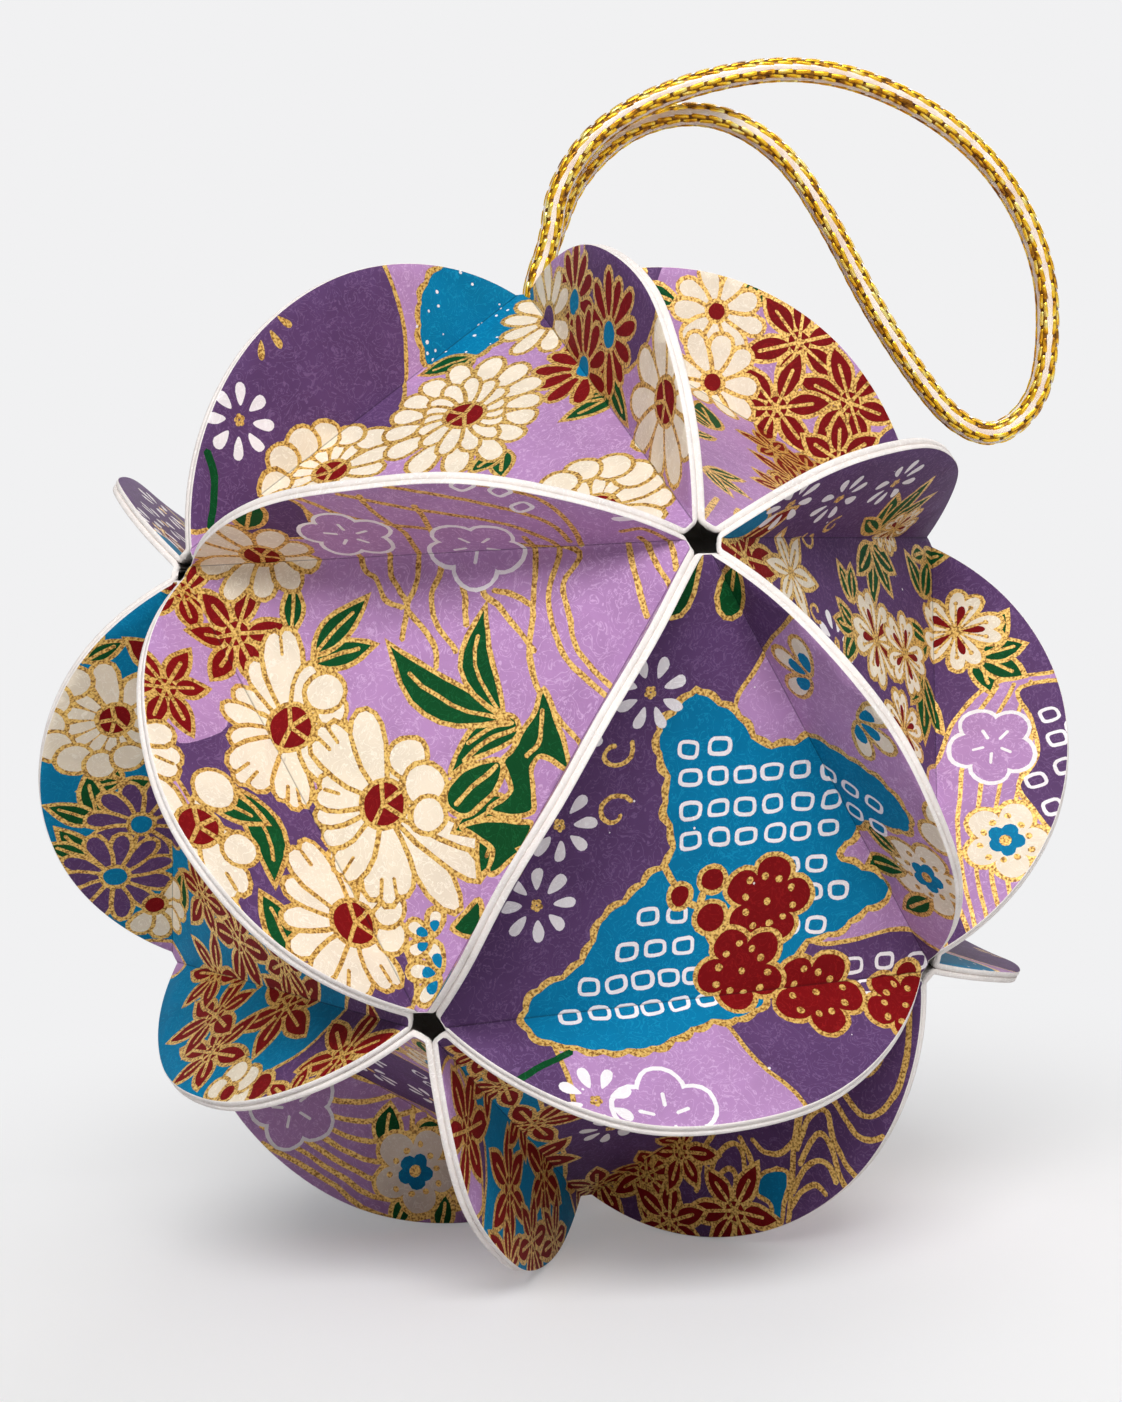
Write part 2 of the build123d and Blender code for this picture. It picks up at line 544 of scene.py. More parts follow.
# Printing inks on the face of the card: washi paper, screen printed in flat colours with raised gold lines.
# Each ink soaks into the long fibres of the paper, so that they show through it as paler hairs and flecks.
ink_colours = {
    "lilac": (184, 140, 190),
    "purple": (94, 64, 108),
    "turquoise": (0, 122, 168),
    "cream": (244, 230, 207),
    "red": (124, 8, 14),
    "green": (4, 74, 34),
    "white": (247, 241, 243),
    "gold": (212, 162, 78),
    "card": (247, 239, 234),
}
fibre_colours = {
    "lilac": (206, 168, 210),
    "purple": (116, 86, 130),
    "turquoise": (12, 138, 182),
    "cream": (250, 240, 222),
    "red": (140, 20, 22),
    "green": (16, 90, 46),
    "white": (252, 248, 249),
    "card": (251, 246, 242),
}
ink_order = list(ink_colours)
hair_scale = 620


def maths(nodes, links, operation, *values):
    """A maths node on outputs or plain numbers."""
    node = nodes.new("ShaderNodeMath")
    node.operation = operation
    for socket, value in zip(node.inputs, values):
        if isinstance(value, float):
            socket.default_value = value
        else:
            links.new(value, socket)
    return node.outputs[0]


def paper_group():
    """Paper fibres: pale hairs, small flecks, broad mottling, and the height of hairs and grain."""
    group = bpy.data.node_groups.new("paper fibres", "ShaderNodeTree")
    for name in ("Hairs", "Flecks", "Mottle", "Height"):
        group.interface.new_socket(name, in_out="OUTPUT", socket_type="NodeSocketFloat")
    group.interface.new_socket("Hair Scale", in_out="INPUT", socket_type="NodeSocketFloat")
    nodes, links = group.nodes, group.links
    entry = nodes.new("NodeGroupInput")
    leave = nodes.new("NodeGroupOutput")

    def mask(source, low, high):
        """Where a value goes from the low level to the high one."""
        node = nodes.new("ShaderNodeMapRange")
        node.interpolation_type = "SMOOTHSTEP"
        node.inputs["From Min"].default_value = low
        node.inputs["From Max"].default_value = high
        links.new(source, node.inputs["Value"])
        return node.outputs["Result"]

    # A hair is a line where the noise passes through its middle value
    strands = object_noise(nodes, links, hair_scale, 3.0, 2.2)
    links.new(entry.outputs["Hair Scale"], strands.node.inputs["Scale"])
    off_middle = maths(nodes, links, "ABSOLUTE", maths(nodes, links, "SUBTRACT", strands, 0.5))
    hairs = mask(off_middle, 0.03, 0.0)
    flecks = mask(object_noise(nodes, links, 2600, 1.0), 0.66, 0.74)
    mottle = mask(object_noise(nodes, links, 240, 3.0, 0.4), 0.3, 0.7)
    grain = object_noise(nodes, links, 5200)
    links.new(hairs, leave.inputs["Hairs"])
    links.new(flecks, leave.inputs["Flecks"])
    links.new(mottle, leave.inputs["Mottle"])
    links.new(maths(nodes, links, "ADD", hairs, grain), leave.inputs["Height"])
    return group


paper_fibres = paper_group()


def tinted(colour, towards, share):
    """A colour moved part of the way towards another."""
    return tuple(a + (b - a) * share for a, b in zip(colour, towards))


def mixed(nodes, links, mask, first, second):
    """Two colours mixed by a mask. Either may be an output or a colour."""
    node = nodes.new("ShaderNodeMix")
    node.data_type = "RGBA"
    links.new(mask, node.inputs["Factor"])
    for socket, colour in ((node.inputs[6], first), (node.inputs[7], second)):
        if isinstance(colour, tuple):
            socket.default_value = colour
        else:
            links.new(colour, socket)
    return node.outputs[2]


def painted_crease_shade(nodes, links, colour):
    """Painted shade along the score line of a crease: the colour is darkened towards the middle of each
    bend, by the point attribute crease.
    """
    crease = nodes.new("ShaderNodeAttribute")
    crease.attribute_name = "crease"
    shade = nodes.new("ShaderNodeMapRange")
    shade.inputs["To Min"].default_value = 1.0
    shade.inputs["To Max"].default_value = 0.4
    links.new(crease.outputs["Fac"], shade.inputs["Value"])
    scale = nodes.new("ShaderNodeVectorMath")
    scale.operation = "SCALE"
    links.new(colour, scale.inputs[0])
    links.new(shade.outputs["Result"], scale.inputs["Scale"])
    return scale.outputs[0]


def flat_ink(name):
    """Matt ink soaked into the paper, or the bare card."""
    material, nodes, links = new_material(f"{name}_ink" if name != "card" else "bare_card")
    surface = nodes["Principled BSDF"]
    colour = linear(*ink_colours[name])
    paler = linear(*fibre_colours[name])
    fibres = nodes.new("ShaderNodeGroup")
    fibres.node_tree = paper_fibres
    fibres.inputs["Hair Scale"].default_value = hair_scale
    black = (0.0, 0.0, 0.0, 1.0)
    toned = mixed(nodes, links, fibres.outputs["Mottle"], tinted(colour, black, 0.12), colour)
    haired = mixed(nodes, links, fibres.outputs["Hairs"], toned, paler)
    flecked = mixed(nodes, links, fibres.outputs["Flecks"], haired, paler)
    # The colour takes painted shade along the creases
    links.new(painted_crease_shade(nodes, links, flecked), surface.inputs["Base Color"])
    raised(nodes, links, surface, fibres.outputs["Height"], 0.3, 0.00004)
    surface.inputs["Roughness"].default_value = 0.6
    surface.inputs["Specular IOR Level"].default_value = 0.1
    return material


def gold_ink():
    """Bronze powder in clear size: it glitters where it faces the light and browns where it doesn't."""
    material, nodes, links = new_material("gold_ink")
    surface = nodes["Principled BSDF"]
    powder = object_noise(nodes, links, 4600, 1.5)
    tint = ramp(
        nodes,
        [
            (0.36, linear(138, 94, 34)),
            (0.46, linear(*ink_colours["gold"])),
            (0.62, linear(244, 206, 116)),
        ],
    )
    links.new(powder, tint.inputs["Fac"])
    # The colour takes painted shade along the creases
    links.new(painted_crease_shade(nodes, links, tint.outputs["Color"]), surface.inputs["Base Color"])
    raised(nodes, links, surface, powder, 0.7, 0.00006)
    surface.inputs["Metallic"].default_value = 0.35
    surface.inputs["Roughness"].default_value = 0.46
    return material


inks = [gold_ink() if name == "gold" else flat_ink(name) for name in ink_order]


# What is printed: flowers, leaves and running water in the old style of dyed silk, drawn in gold outline.
# A layout is a list of closed outlines in millimetres from the disc's centre, each with its ink, in the
# order of printing, so a later one covers an earlier one. The first flap points along u.
gold_line = 0.44
thin_line = 0.36
vein_line = 0.34


class Layout:
    """The print of one disc: its ground colour, and its fields in the order of printing."""

    def __init__(self, ground, seed):
        self.ground = ground
        self.fields = []
        self.random = np.random.default_rng(seed)

    def field(self, ink, outline):
        """Prints a closed outline, given as complex numbers."""
        self.fields.append((ink, anticlockwise(outline)))

    def outlined(self, ink, *outlines, line="gold", width=gold_line):
        """Prints outlines as one shape with a line round its edge."""
        for outline in outlines:
            self.field(line, grown(outline, width / 2))
        for outline in outlines:
            self.field(ink, grown(outline, -width / 2))


def anticlockwise(outline):
    following = np.roll(outline, -1)
    area = np.sum(outline.real * following.imag - following.real * outline.imag)
    return outline if area > 0 else outline[::-1]


def grown(outline, amount):
    """An outline moved outward by an amount, or inward if it is negative."""
    outline = anticlockwise(outline)
    before = outline - np.roll(outline, 1)
    after = np.roll(outline, -1) - outline
    before = before / np.maximum(abs(before), 1e-9)
    after = after / np.maximum(abs(after), 1e-9)
    middle = before + after
    middle = middle / np.maximum(abs(middle), 1e-9)
    square = np.clip((middle * before.conj()).real, 0.5, 1)
    return outline - 1j * middle * amount / square


def heading(direction, length=1.0):
    """A step in a direction given in degrees."""
    return length * np.exp(1j * radians(direction))


def circle(at, radius, count):
    return complex(*at) + radius * np.exp(2j * pi * np.arange(count) / count)


def through(points, closed=False, steps=5):
    """A smooth line through points given as pairs."""
    knots = np.array([complex(*point) for point in points])
    if closed:
        knots = np.r_[knots[-1], knots, knots[:2]]
    else:
        knots = np.r_[2 * knots[0] - knots[1], knots, 2 * knots[-1] - knots[-2]]
    t = np.arange(steps) / steps
    line = []
    for a, b, c, d in zip(knots, knots[1:], knots[2:], knots[3:]):
        line.append(b + 0.5 * t * (c - a + t * (2 * a - 5 * b + 4 * c - d + t * (3 * (b - c) + d - a))))
    line = np.concatenate(line)
    return line if closed else np.r_[line, knots[-2]]


def band(line, width):
    """The outline of a line of the given width, with rounded ends."""
    way = np.gradient(line)
    way = way / np.maximum(abs(way), 1e-9)
    side = 1j * way * width / 2
    start = line[0] - way[0] * width * 0.35
    end = line[-1] + way[-1] * width * 0.35
    return np.r_[line - side, end, (line + side)[::-1], start]


def stroke(sheet, ink, points, width):
    """A brush line through points."""
    sheet.field(ink, band(through(points), width))


def petal(at, direction, near, far, width, count=15):
    """A petal's outline, from near to far from the flower's middle, fullest towards its tip."""
    t = 2 * pi * np.arange(count) / count
    along = (1 - np.cos(t)) / 2
    half = np.sin(t) * (0.42 + 0.62 * along) * width / 2
    return complex(*at) + heading(direction) * (near + (far - near) * along + 1j * half)


def pointed(root, tip, width, bend=0.0):
    """A leaf's outline, pointed at both ends, and its middle line, bent to one side."""
    root, tip = complex(*root), complex(*tip)
    t = np.linspace(0, 1, 9)
    spine = root + (tip - root) * t + 1j * (tip - root) * bend * np.sin(pi * t)
    side = 1j * (tip - root) / abs(tip - root) * width / 2 * np.sin(pi * t**0.85) ** 0.9
    return np.r_[spine + side, (spine - side)[-2:0:-1]], spine


def flower(sheet, at, petals, eye=2.1, eye_ink="red", ink="cream"):
    """A full flower. Each petal is its direction in degrees, its reach, its width and its lobes.
    A petal of no lobes is a round one with a small pointed one below it, and a broad one has a short
    gold vein between each two of its lobes. A large eye has four gold threads, turned its own way."""
    lobe_fan = 0.66
    lobe_overlap = 1.45
    side_lobe_share = 0.94
    large_eye = 1.5
    inner = [(d, r - 0.7 * w, 0.6 * w) for d, r, w, lobes in petals if lobes == 0]
    sheet.outlined(ink, *[petal(at, d + 9, 0.6, r, w) for d, r, w in inner])
    for direction, reach, width, lobes in petals:
        if lobes == 0:
            middle = complex(*at) + heading(direction, reach - width / 2)
            sheet.outlined(ink, circle((middle.real, middle.imag), width / 2, 16))
            continue
        spread = degrees(width / reach) * lobe_fan
        swings = [direction + spread * ((number + 0.5) / lobes - 0.5) for number in range(lobes)]
        lobe_width = width if lobes == 1 else width / lobes * lobe_overlap
        reaches = [reach] * lobes
        if lobes > 2:
            reaches[0] = reaches[-1] = reach * side_lobe_share
        sheet.outlined(ink, *[petal(at, s, 0.7, r, lobe_width) for s, r in zip(swings, reaches)])
        for first, second in zip(swings, swings[1:]):
            way = complex(*at) + heading((first + second) / 2) * np.array([reach - 2.3, reach - 0.7])
            sheet.field("gold", band(way, thin_line))
    sheet.outlined(eye_ink, circle(at, eye, 20))
    if eye > large_eye:
        turn = petals[0][0] % 50 - 25
        for direction in (18, 168, 250, 318):
            tip = complex(*at) + heading(direction + turn, eye * 0.88)
            sheet.field("gold", band(np.array([complex(*at), tip]), 0.4))


def round_flower(sheet, at, count, reach, width, ink, eye, eye_ink, turn=0.0):
    """A flower of even petals, each a little longer or shorter than the last."""
    petals = []
    for number in range(count):
        stretch = 1 + 0.08 * sheet.random.uniform(-1, 1)
        petals.append((turn + 360 * number / count + sheet.random.uniform(-4, 4), reach * stretch, width, 1))
    flower(sheet, at, petals, eye, eye_ink, ink)


def maple(sheet, at, reach, turn, lobes=6):
    """A red maple leaf of blunt lobes, with a gold vein down each and a gold middle."""
    spread = [turn + 360 * number / lobes + sheet.random.uniform(-7, 7) for number in range(lobes)]
    reaches = [reach * (1 + 0.14 * sheet.random.uniform(-1, 1)) for _ in spread]
    t = np.linspace(0, 1, 9)
    half = 0.22 * reach * np.sin(pi * t**0.86) ** 0.85
    root = 0.12 * reach
    drawn = []
    for direction, length in zip(spread, reaches):
        spine = complex(*at) + heading(direction) * (root + (length - root) * t)
        side = 1j * heading(direction) * half
        drawn.append(np.r_[spine + side, (spine - side)[-2:0:-1]])
    sheet.outlined("red", *drawn, circle(at, 0.24 * reach, 12), width=0.42)
    for direction, length in zip(spread, reaches):
        vein = np.array([complex(*at), complex(*at) + heading(direction, length * 0.66)])
        sheet.field("gold", band(vein, vein_line))
    sheet.field("gold", circle(at, 0.09 * reach, 8))


def leaf(sheet, root, tip, width, bend=0.0):
    """A green leaf with a gold rim and midrib."""
    outline, spine = pointed(root, tip, width, bend)
    sheet.outlined("green", outline)
    sheet.field("gold", band(spine[:-2], vein_line))


def spray(sheet, at, *leaves):
    """Leaves that fan out from one place: each is its direction, length and width."""
    for direction, length, width in leaves:
        tip = complex(*at) + heading(direction, length)
        leaf(sheet, at, (tip.real, tip.imag), width)


def plum(sheet, at, reach, ink, turn, eye=None):
    """A plum blossom of five round petals in gold outline, with gold dots for its threads."""
    dot_radius = 0.33
    middles = [complex(*at) + heading(turn + 72 * number, 0.6 * reach) for number in range(5)]
    sheet.outlined(ink, *[circle((m.real, m.imag), 0.42 * reach, 18) for m in middles])
    sheet.field(ink, circle(at, 0.45 * reach, 14))
    if eye:
        for number in range(5):
            near = complex(*at) + heading(turn + 72 * number, 0.24 * reach)
            sheet.field(eye, circle((near.real, near.imag), 0.18 * reach, 10))
        sheet.field("gold", circle(at, 0.14 * reach, 10))
    for number in range(10):
        out = (0.6 if number % 3 == 0 else 0.5) * reach
        place = complex(*at) + heading(turn + 18 + 36 * number, out)
        sheet.field("gold", circle((place.real, place.imag), dot_radius, 8))
    sheet.field("gold", circle(at, dot_radius, 8))


def plum_line(sheet, at, reach, ground, turn):
    """A plum blossom in white outline alone, with a short stroke up the middle of each petal."""
    middles = [complex(*at) + heading(turn + 72 * number, 0.56 * reach) for number in range(5)]
    outlines = [circle((m.real, m.imag), 0.45 * reach, 18) for m in middles]
    sheet.outlined(ground, *outlines, line="white", width=0.38)
    sheet.field(ground, circle(at, 0.42 * reach, 14))
    for number in range(5):
        way = heading(turn + 72 * number, reach)
        sheet.field("white", band(complex(*at) + way * np.array([0.22, 0.48]), 0.3))


def daisy(sheet, at, reach, turn=0.0):
    """Eight loose white petals round a small gold button."""
    for number in range(8):
        sheet.field("white", petal(at, turn + 45 * number, reach * 0.4, reach, reach * 0.4))
    for number in range(5):
        near = complex(*at) + heading(72 * number, 0.32)
        sheet.field("gold", circle((near.real, near.imag), 0.26, 8))


def kanoko(sheet, places, ground, lean=0.0):
    """Tie-dyed dots: small rounded squares in white outline."""
    width = 1.6
    height = 2.0
    t = 2 * pi * np.arange(16) / 16
    square = np.sign(np.cos(t)) * abs(np.cos(t)) ** 0.6 * width / 2
    square = square + 1j * np.sign(np.sin(t)) * abs(np.sin(t)) ** 0.6 * height / 2
    for place in places:
        turned = square * heading(lean + sheet.random.uniform(-5, 5))
        sheet.outlined(ground, complex(*place) + turned * 0.84, line="white", width=0.34)


def bud(sheet, at, radius):
    """A round red bud."""
    sheet.outlined("red", circle(at, radius, 14))


def cloud(sheet, ink, points):
    """A drifting patch of colour with a thick scalloped gold edge."""
    scallop_length = 2.1
    scallop_rise = 0.36
    scallop_steps = 5
    line = through(points, closed=True, steps=12)
    ends = np.r_[line, line[:1]]
    travel = np.r_[0, np.cumsum(abs(np.diff(ends)))]
    count = int(travel[-1] / (scallop_length / scallop_steps))
    even = np.linspace(0, travel[-1], count, endpoint=False)
    line = np.interp(even, travel, ends.real) + 1j * np.interp(even, travel, ends.imag)
    wave = scallop_rise * abs(np.sin(pi * np.arange(count) / scallop_steps))
    sheet.field("gold", grown(line, 0.28 + wave))
    sheet.field(ink, grown(line, -0.24 + wave * 0.5))


def patch(sheet, ink, points, line="gold"):
    """An area of colour in gold outline, or with no line."""
    if line:
        sheet.outlined(ink, through(points, closed=True), line=line)
    else:
        sheet.field(ink, through(points, closed=True))


def stream(sheet, first, last, count, width=0.56):
    """Running water: gold lines that change from the first line given to the last."""
    first, last = np.array(first, float), np.array(last, float)
    for number in range(count):
        stroke(sheet, "gold", first + (last - first) * number / (count - 1), width)


def curl(sheet, at, radius, turn, way):
    """A small gold curl, anticlockwise where its way is 1 and clockwise where it is -1."""
    t = np.linspace(0, 1, 14)
    line = complex(*at) + radius * (1 - 0.68 * t) * np.exp(1j * (radians(turn) + way * 5.3 * t))
    sheet.field("gold", band(line, 0.4))


def cherry(sheet, at, reach, turn=90.0):
    """A cream cherry blossom: five notched petals with red shadows and gold threads."""
    directions = [turn + 72 * number for number in range(5)]
    halves = [direction + side for direction in directions for side in (-13, 13)]
    sheet.outlined("cream", *[petal(at, half, 0.2, reach, reach * 0.56) for half in halves])
    for direction in directions:
        sheet.field("red", petal(at, direction, 0.5, reach * 0.62, reach * 0.22))
        for swing in (-15, 15):
            tip = complex(*at) + heading(direction + swing, reach * 0.66)
            sheet.field("gold", band(np.array([complex(*at), tip]), 0.24))
            sheet.field("gold", circle((tip.real, tip.imag), 0.26, 8))
    sheet.field("gold", circle(at, 0.55, 10))


def lily(sheet, at, reach, turn):
    """A cream star flower of six pointed petals, with a gold thread down each."""
    directions = [turn + 60 * number for number in range(6)]
    tips = [complex(*at) + heading(d, reach) for d in directions]
    sheet.outlined("cream", *[pointed(at, (tip.real, tip.imag), reach * 0.42)[0] for tip in tips])
    for tip in tips:
        sheet.field("gold", band(complex(*at) + (tip - complex(*at)) * np.array([0, 0.6]), thin_line))


def iris(sheet, at, reach, turn):
    """Three cream petals, each with a blue heart, like a small butterfly."""
    for swing in (-60, 0, 60):
        sheet.outlined("cream", petal(at, turn + swing, 0.3, reach, reach * 0.66))
        sheet.field("turquoise", petal(at, turn + swing, 0.6, reach * 0.62, reach * 0.4, 11))


def specks(sheet, ink, count, low, high, radius):
    """Stray dots of ink between two corners."""
    for _ in range(count):
        at = (sheet.random.uniform(low[0], high[0]), sheet.random.uniform(low[1], high[1]))
        sheet.field(ink, circle(at, radius * sheet.random.uniform(0.6, 1.5), 6))


def chrysanthemum_garden():
    """Great chrysanthemums among maples and leaves, above running water on lilac."""
    sheet = Layout("lilac", 1)
    for line in (
        [
            (25.4, 8), (23.4, 5.8), (21, 4.2), (19, 1), (17, -2.8), (15, -6), (13.6, -9.8), (12.4, -13),
            (9.8, -11.8), (6.6, -12.2), (3.6, -13.2), (0.8, -15.8),
        ],
        [
            (25, 3.2), (22.4, -0.2), (20, -3.8), (18.2, -7.4), (16.2, -9.6), (13, -11.4), (9.8, -10.6),
            (6.6, -10.6), (3.4, -12), (0.2, -15.2),
        ],
        [(25.4, -0.8), (23.2, -4.4), (21.2, -7.4), (19.2, -10.2), (17.2, -11.8), (14, -12.4)],
        [(24.2, -7.6), (23, -10.4), (21.4, -12.2), (18, -13.2), (13, -13.2)],
        [
            (24.4, 1.6), (21.6, 1.6), (17.4, 0.6), (12, 0.8), (10, 1.2), (8.4, 1.8), (6.8, 0.4),
            (5, -0.6), (3.2, -0.8),
        ],
        [(23.4, 7.2), (19, 6.6), (15, 6), (12, 5.6), (11, 4.6), (9.2, 3.8), (8.4, 2.2)],
        [(20, 3), (16, 3.2), (11.8, 3.2), (10.2, 2.6), (8.4, 1.8), (5.8, 2.2)],
        [(22, -2), (17.4, -1.8), (11.6, -1.2), (9.6, -0.4), (7, -0.8), (4.4, -2.6)],
        [(11.8, -2.6), (9.2, -3.2), (6.6, -3.4)],
        [(14.6, -6.6), (11.4, -5), (9.4, -4.8), (8, -6.4), (6, -8), (4.2, -9.2)],
        [(9.6, -5.6), (9, -7.4), (8, -9.2)],
        [
            (15.4, -9), (12.4, -9.4), (10, -9.2), (6.6, -9), (3.8, -8.8), (0.8, -9.8), (-1.8, -11.6),
            (-4, -13.6),
        ],
        [(13.4, -17.2), (10.2, -17.6), (6.8, -18.6)],
        [(14.4, -18.2), (11.4, -19.2), (9, -20.6)],
        [(15.4, -17), (15.6, -19), (13, -20.4), (10.6, -21)],
    ):
        stroke(sheet, "gold", line, 0.5)
    patch(sheet, "purple", [
        (-25.4, 3.6), (-24, 0.6), (-18, 2.6), (-11, 7.6), (-8, 9.4), (-2, 16), (-3.6, 21.6), (-8, 22.6),
        (-13, 19), (-21, 15),
    ])
    patch(sheet, "purple", [(18, 13), (21.6, 13.6), (25.4, 9.4), (23.6, 7.2), (20.6, 7.4), (17.6, 8.4)])
    patch(sheet, "lilac", [(-5.5, 22), (-2, 24), (1, 19.4), (-2.6, 18)], line=None)
    for at, reach, turn in (((-0.5, 23.6), 4.8, 100), ((10.4, 22.6), 4.6, 20), ((6.8, 17.2), 5.3, 35)):
        maple(sheet, at, reach, turn)
    for root, tip, width, bend in (
        ((-8.4, 16.9), (-16.8, 13.2), 3.2, 0.12), ((-9.6, 19.6), (-11.2, 14), 2.6, 0),
        ((-22.6, 11.2), (-17.6, 14.4), 2.8, 0), ((4, 10.4), (5.3, 4.5), 2.3, 0),
        ((4.6, 10.2), (9.6, 5.4), 2.6, 0), ((6.6, 12), (11.2, 12.2), 2, 0),
        ((19.6, 13.6), (24.4, 10.6), 2.8, 0),
    ):
        leaf(sheet, root, tip, width, bend)
    flower(sheet, (-7, 27.6), [(230, 5.6, 3, 1), (262, 6, 4.6, 2), (295, 5.6, 3, 1)], 1.4)
    flower(sheet, (-13, 20), [
        (118, 6, 3.2, 1), (150, 6.6, 3.2, 1), (182, 6.4, 3, 1), (214, 6.8, 4.4, 2), (60, 5.6, 4, 2),
        (252, 5.4, 3.2, 0), (342, 6, 3.8, 0),
    ], 1.9)
    flower(sheet, (-18.5, 6.2), [
        (125, 6.8, 3.4, 1), (175, 6.8, 5.4, 2), (215, 6.4, 3.8, 2), (98, 6.6, 3, 1), (14, 7, 3, 1),
        (70, 6.8, 3.2, 1), (42, 8.2, 4.8, 2), (150, 7, 3, 1), (258, 5, 3, 0), (295, 4.9, 2.8, 0),
        (330, 5.2, 3, 1),
    ])
    flower(sheet, (-1.5, 12), [
        (60, 6.4, 3.2, 1), (84, 6.6, 3, 1), (112, 6.2, 3.2, 1), (142, 8, 7, 3), (182, 7.6, 5.4, 3),
        (222, 6.4, 3.4, 1), (32, 7, 2.8, 1), (8, 8.6, 4.6, 2), (342, 5.8, 2.6, 1), (262, 5.4, 2.8, 0),
        (288, 5.2, 2.8, 0), (314, 6, 3.6, 0),
    ])
    flower(sheet, (-8.2, 3.6), [
        (216, 11, 3.4, 1), (234, 10.6, 3, 1), (248, 9.8, 2.6, 1), (184, 8.6, 6.6, 3), (150, 7.4, 4.2, 2),
        (122, 6.2, 3, 1), (100, 6.2, 3, 1), (76, 6.2, 4.2, 2), (42, 9, 5.8, 3), (14, 8.4, 3.6, 1),
        (332, 6.2, 3.6, 0), (294, 5.8, 3.8, 0), (256, 5.6, 3.2, 0),
    ], 2)
    flower(sheet, (14.6, 14.4), [
        (70, 7.4, 4.4, 2), (105, 6.8, 3.6, 1), (36, 6.8, 3.4, 1), (140, 6.2, 3, 1), (8, 6, 3.2, 1),
        (175, 5, 3, 1), (212, 5, 3, 1), (248, 5, 3, 1), (285, 5, 3.2, 1), (325, 5.4, 3.4, 1),
    ], 1.8)
    spray(sheet, (-8, -7.4), (156, 6.8, 2.8), (118, 5.6, 3.2))
    patch(sheet, "green", [
        (-10.1, -3.2), (-9.6, -5.4), (-9.8, -7.7), (-10.2, -9.2), (-12.2, -8.2), (-14, -6.2),
        (-13.8, -5.4), (-12.2, -5.9), (-11, -4.5),
    ])
    patch(sheet, "green", [(-16.2, -4.8), (-16.8, -3.8), (-18.5, -2.4), (-19.2, -4.8)])
    patch(sheet, "green", [
        (1.1, -10.1), (-1.2, -11), (-3.8, -11.8), (-5.7, -12.3), (-4.8, -10.7), (-4.5, -9.6), (-5.6, -9),
        (-7.6, -9.1), (-9.1, -9.1), (-9.4, -7.4), (-8.9, -5.5), (-7.9, -6.6), (-7, -7.2), (-5.7, -6.9),
        (-4.7, -6.7), (-3.7, -7.6), (-2.5, -8.2), (-0.9, -9.2),
    ])
    stroke(sheet, "gold", [(-0.6, -9.9), (-3.2, -9.7), (-4.4, -8.6)], thin_line)
    patch(sheet, "green", [
        (-6.9, -1.9), (-5.3, -3.7), (-4.6, -6.2), (-5.7, -6.7), (-7.7, -5.6), (-9.2, -3.7), (-8.6, -2.1),
    ])
    stroke(sheet, "gold", [(-8.3, -2.7), (-6.7, -4.3), (-5.1, -6.2)], 0.4)
    patch(sheet, "green", [
        (-5.8, -2.1), (-3.1, -3.3), (-1.4, -5), (-1, -7.2), (-1.9, -8), (-2.9, -7.8), (-3.8, -6),
        (-4.7, -4),
    ])
    stroke(sheet, "gold", [(-4.8, -3.3), (-3, -5.3), (-2.1, -7.8)], 0.4)
    stroke(sheet, "gold", [(-3.4, -3.6), (-2, -5.6), (-1.6, -7.4)], vein_line)
    leaf(sheet, (-1.4, -7), (5.6, 3.5), 3.6, 0.13)
    leaf(sheet, (-1.2, -6.6), (8.4, -5.1), 2.8, 0.16)
    plum_line(sheet, (14, -4.5), 4.2, "lilac", 100)
    plum_line(sheet, (17.6, 5.4), 4, "lilac", 75)
    kanoko(sheet, [(20.3, -10.3), (23, -9.4), (24.2, -6.8)], "lilac", 30)
    sheet.field("white", petal((17.3, -18.8), 80, 0, 2, 1))
    iris(sheet, (-22.4, -1.6), 3, 80)
    iris(sheet, (-19.4, -1), 2.6, 60)
    patch(sheet, "turquoise", [(-25, -1.4), (-22.6, -2.4), (-22, -4.4), (-24, -6), (-26, -4)])
    stream(sheet, [(-22, -12), (-16, -14.8), (-12, -22)], [(-15, -10), (-8, -14), (-6.5, -24)], 5)
    maple(sheet, (-13.4, -12.2), 4.4, 10)
    plum_line(sheet, (-2.4, -18.6), 4, "lilac", 30)
    daisy(sheet, (3.6, -22), 2.6)
    kanoko(sheet, [(-8.4, -21.8), (-6, -23.4)], "lilac", 20)
    return sheet


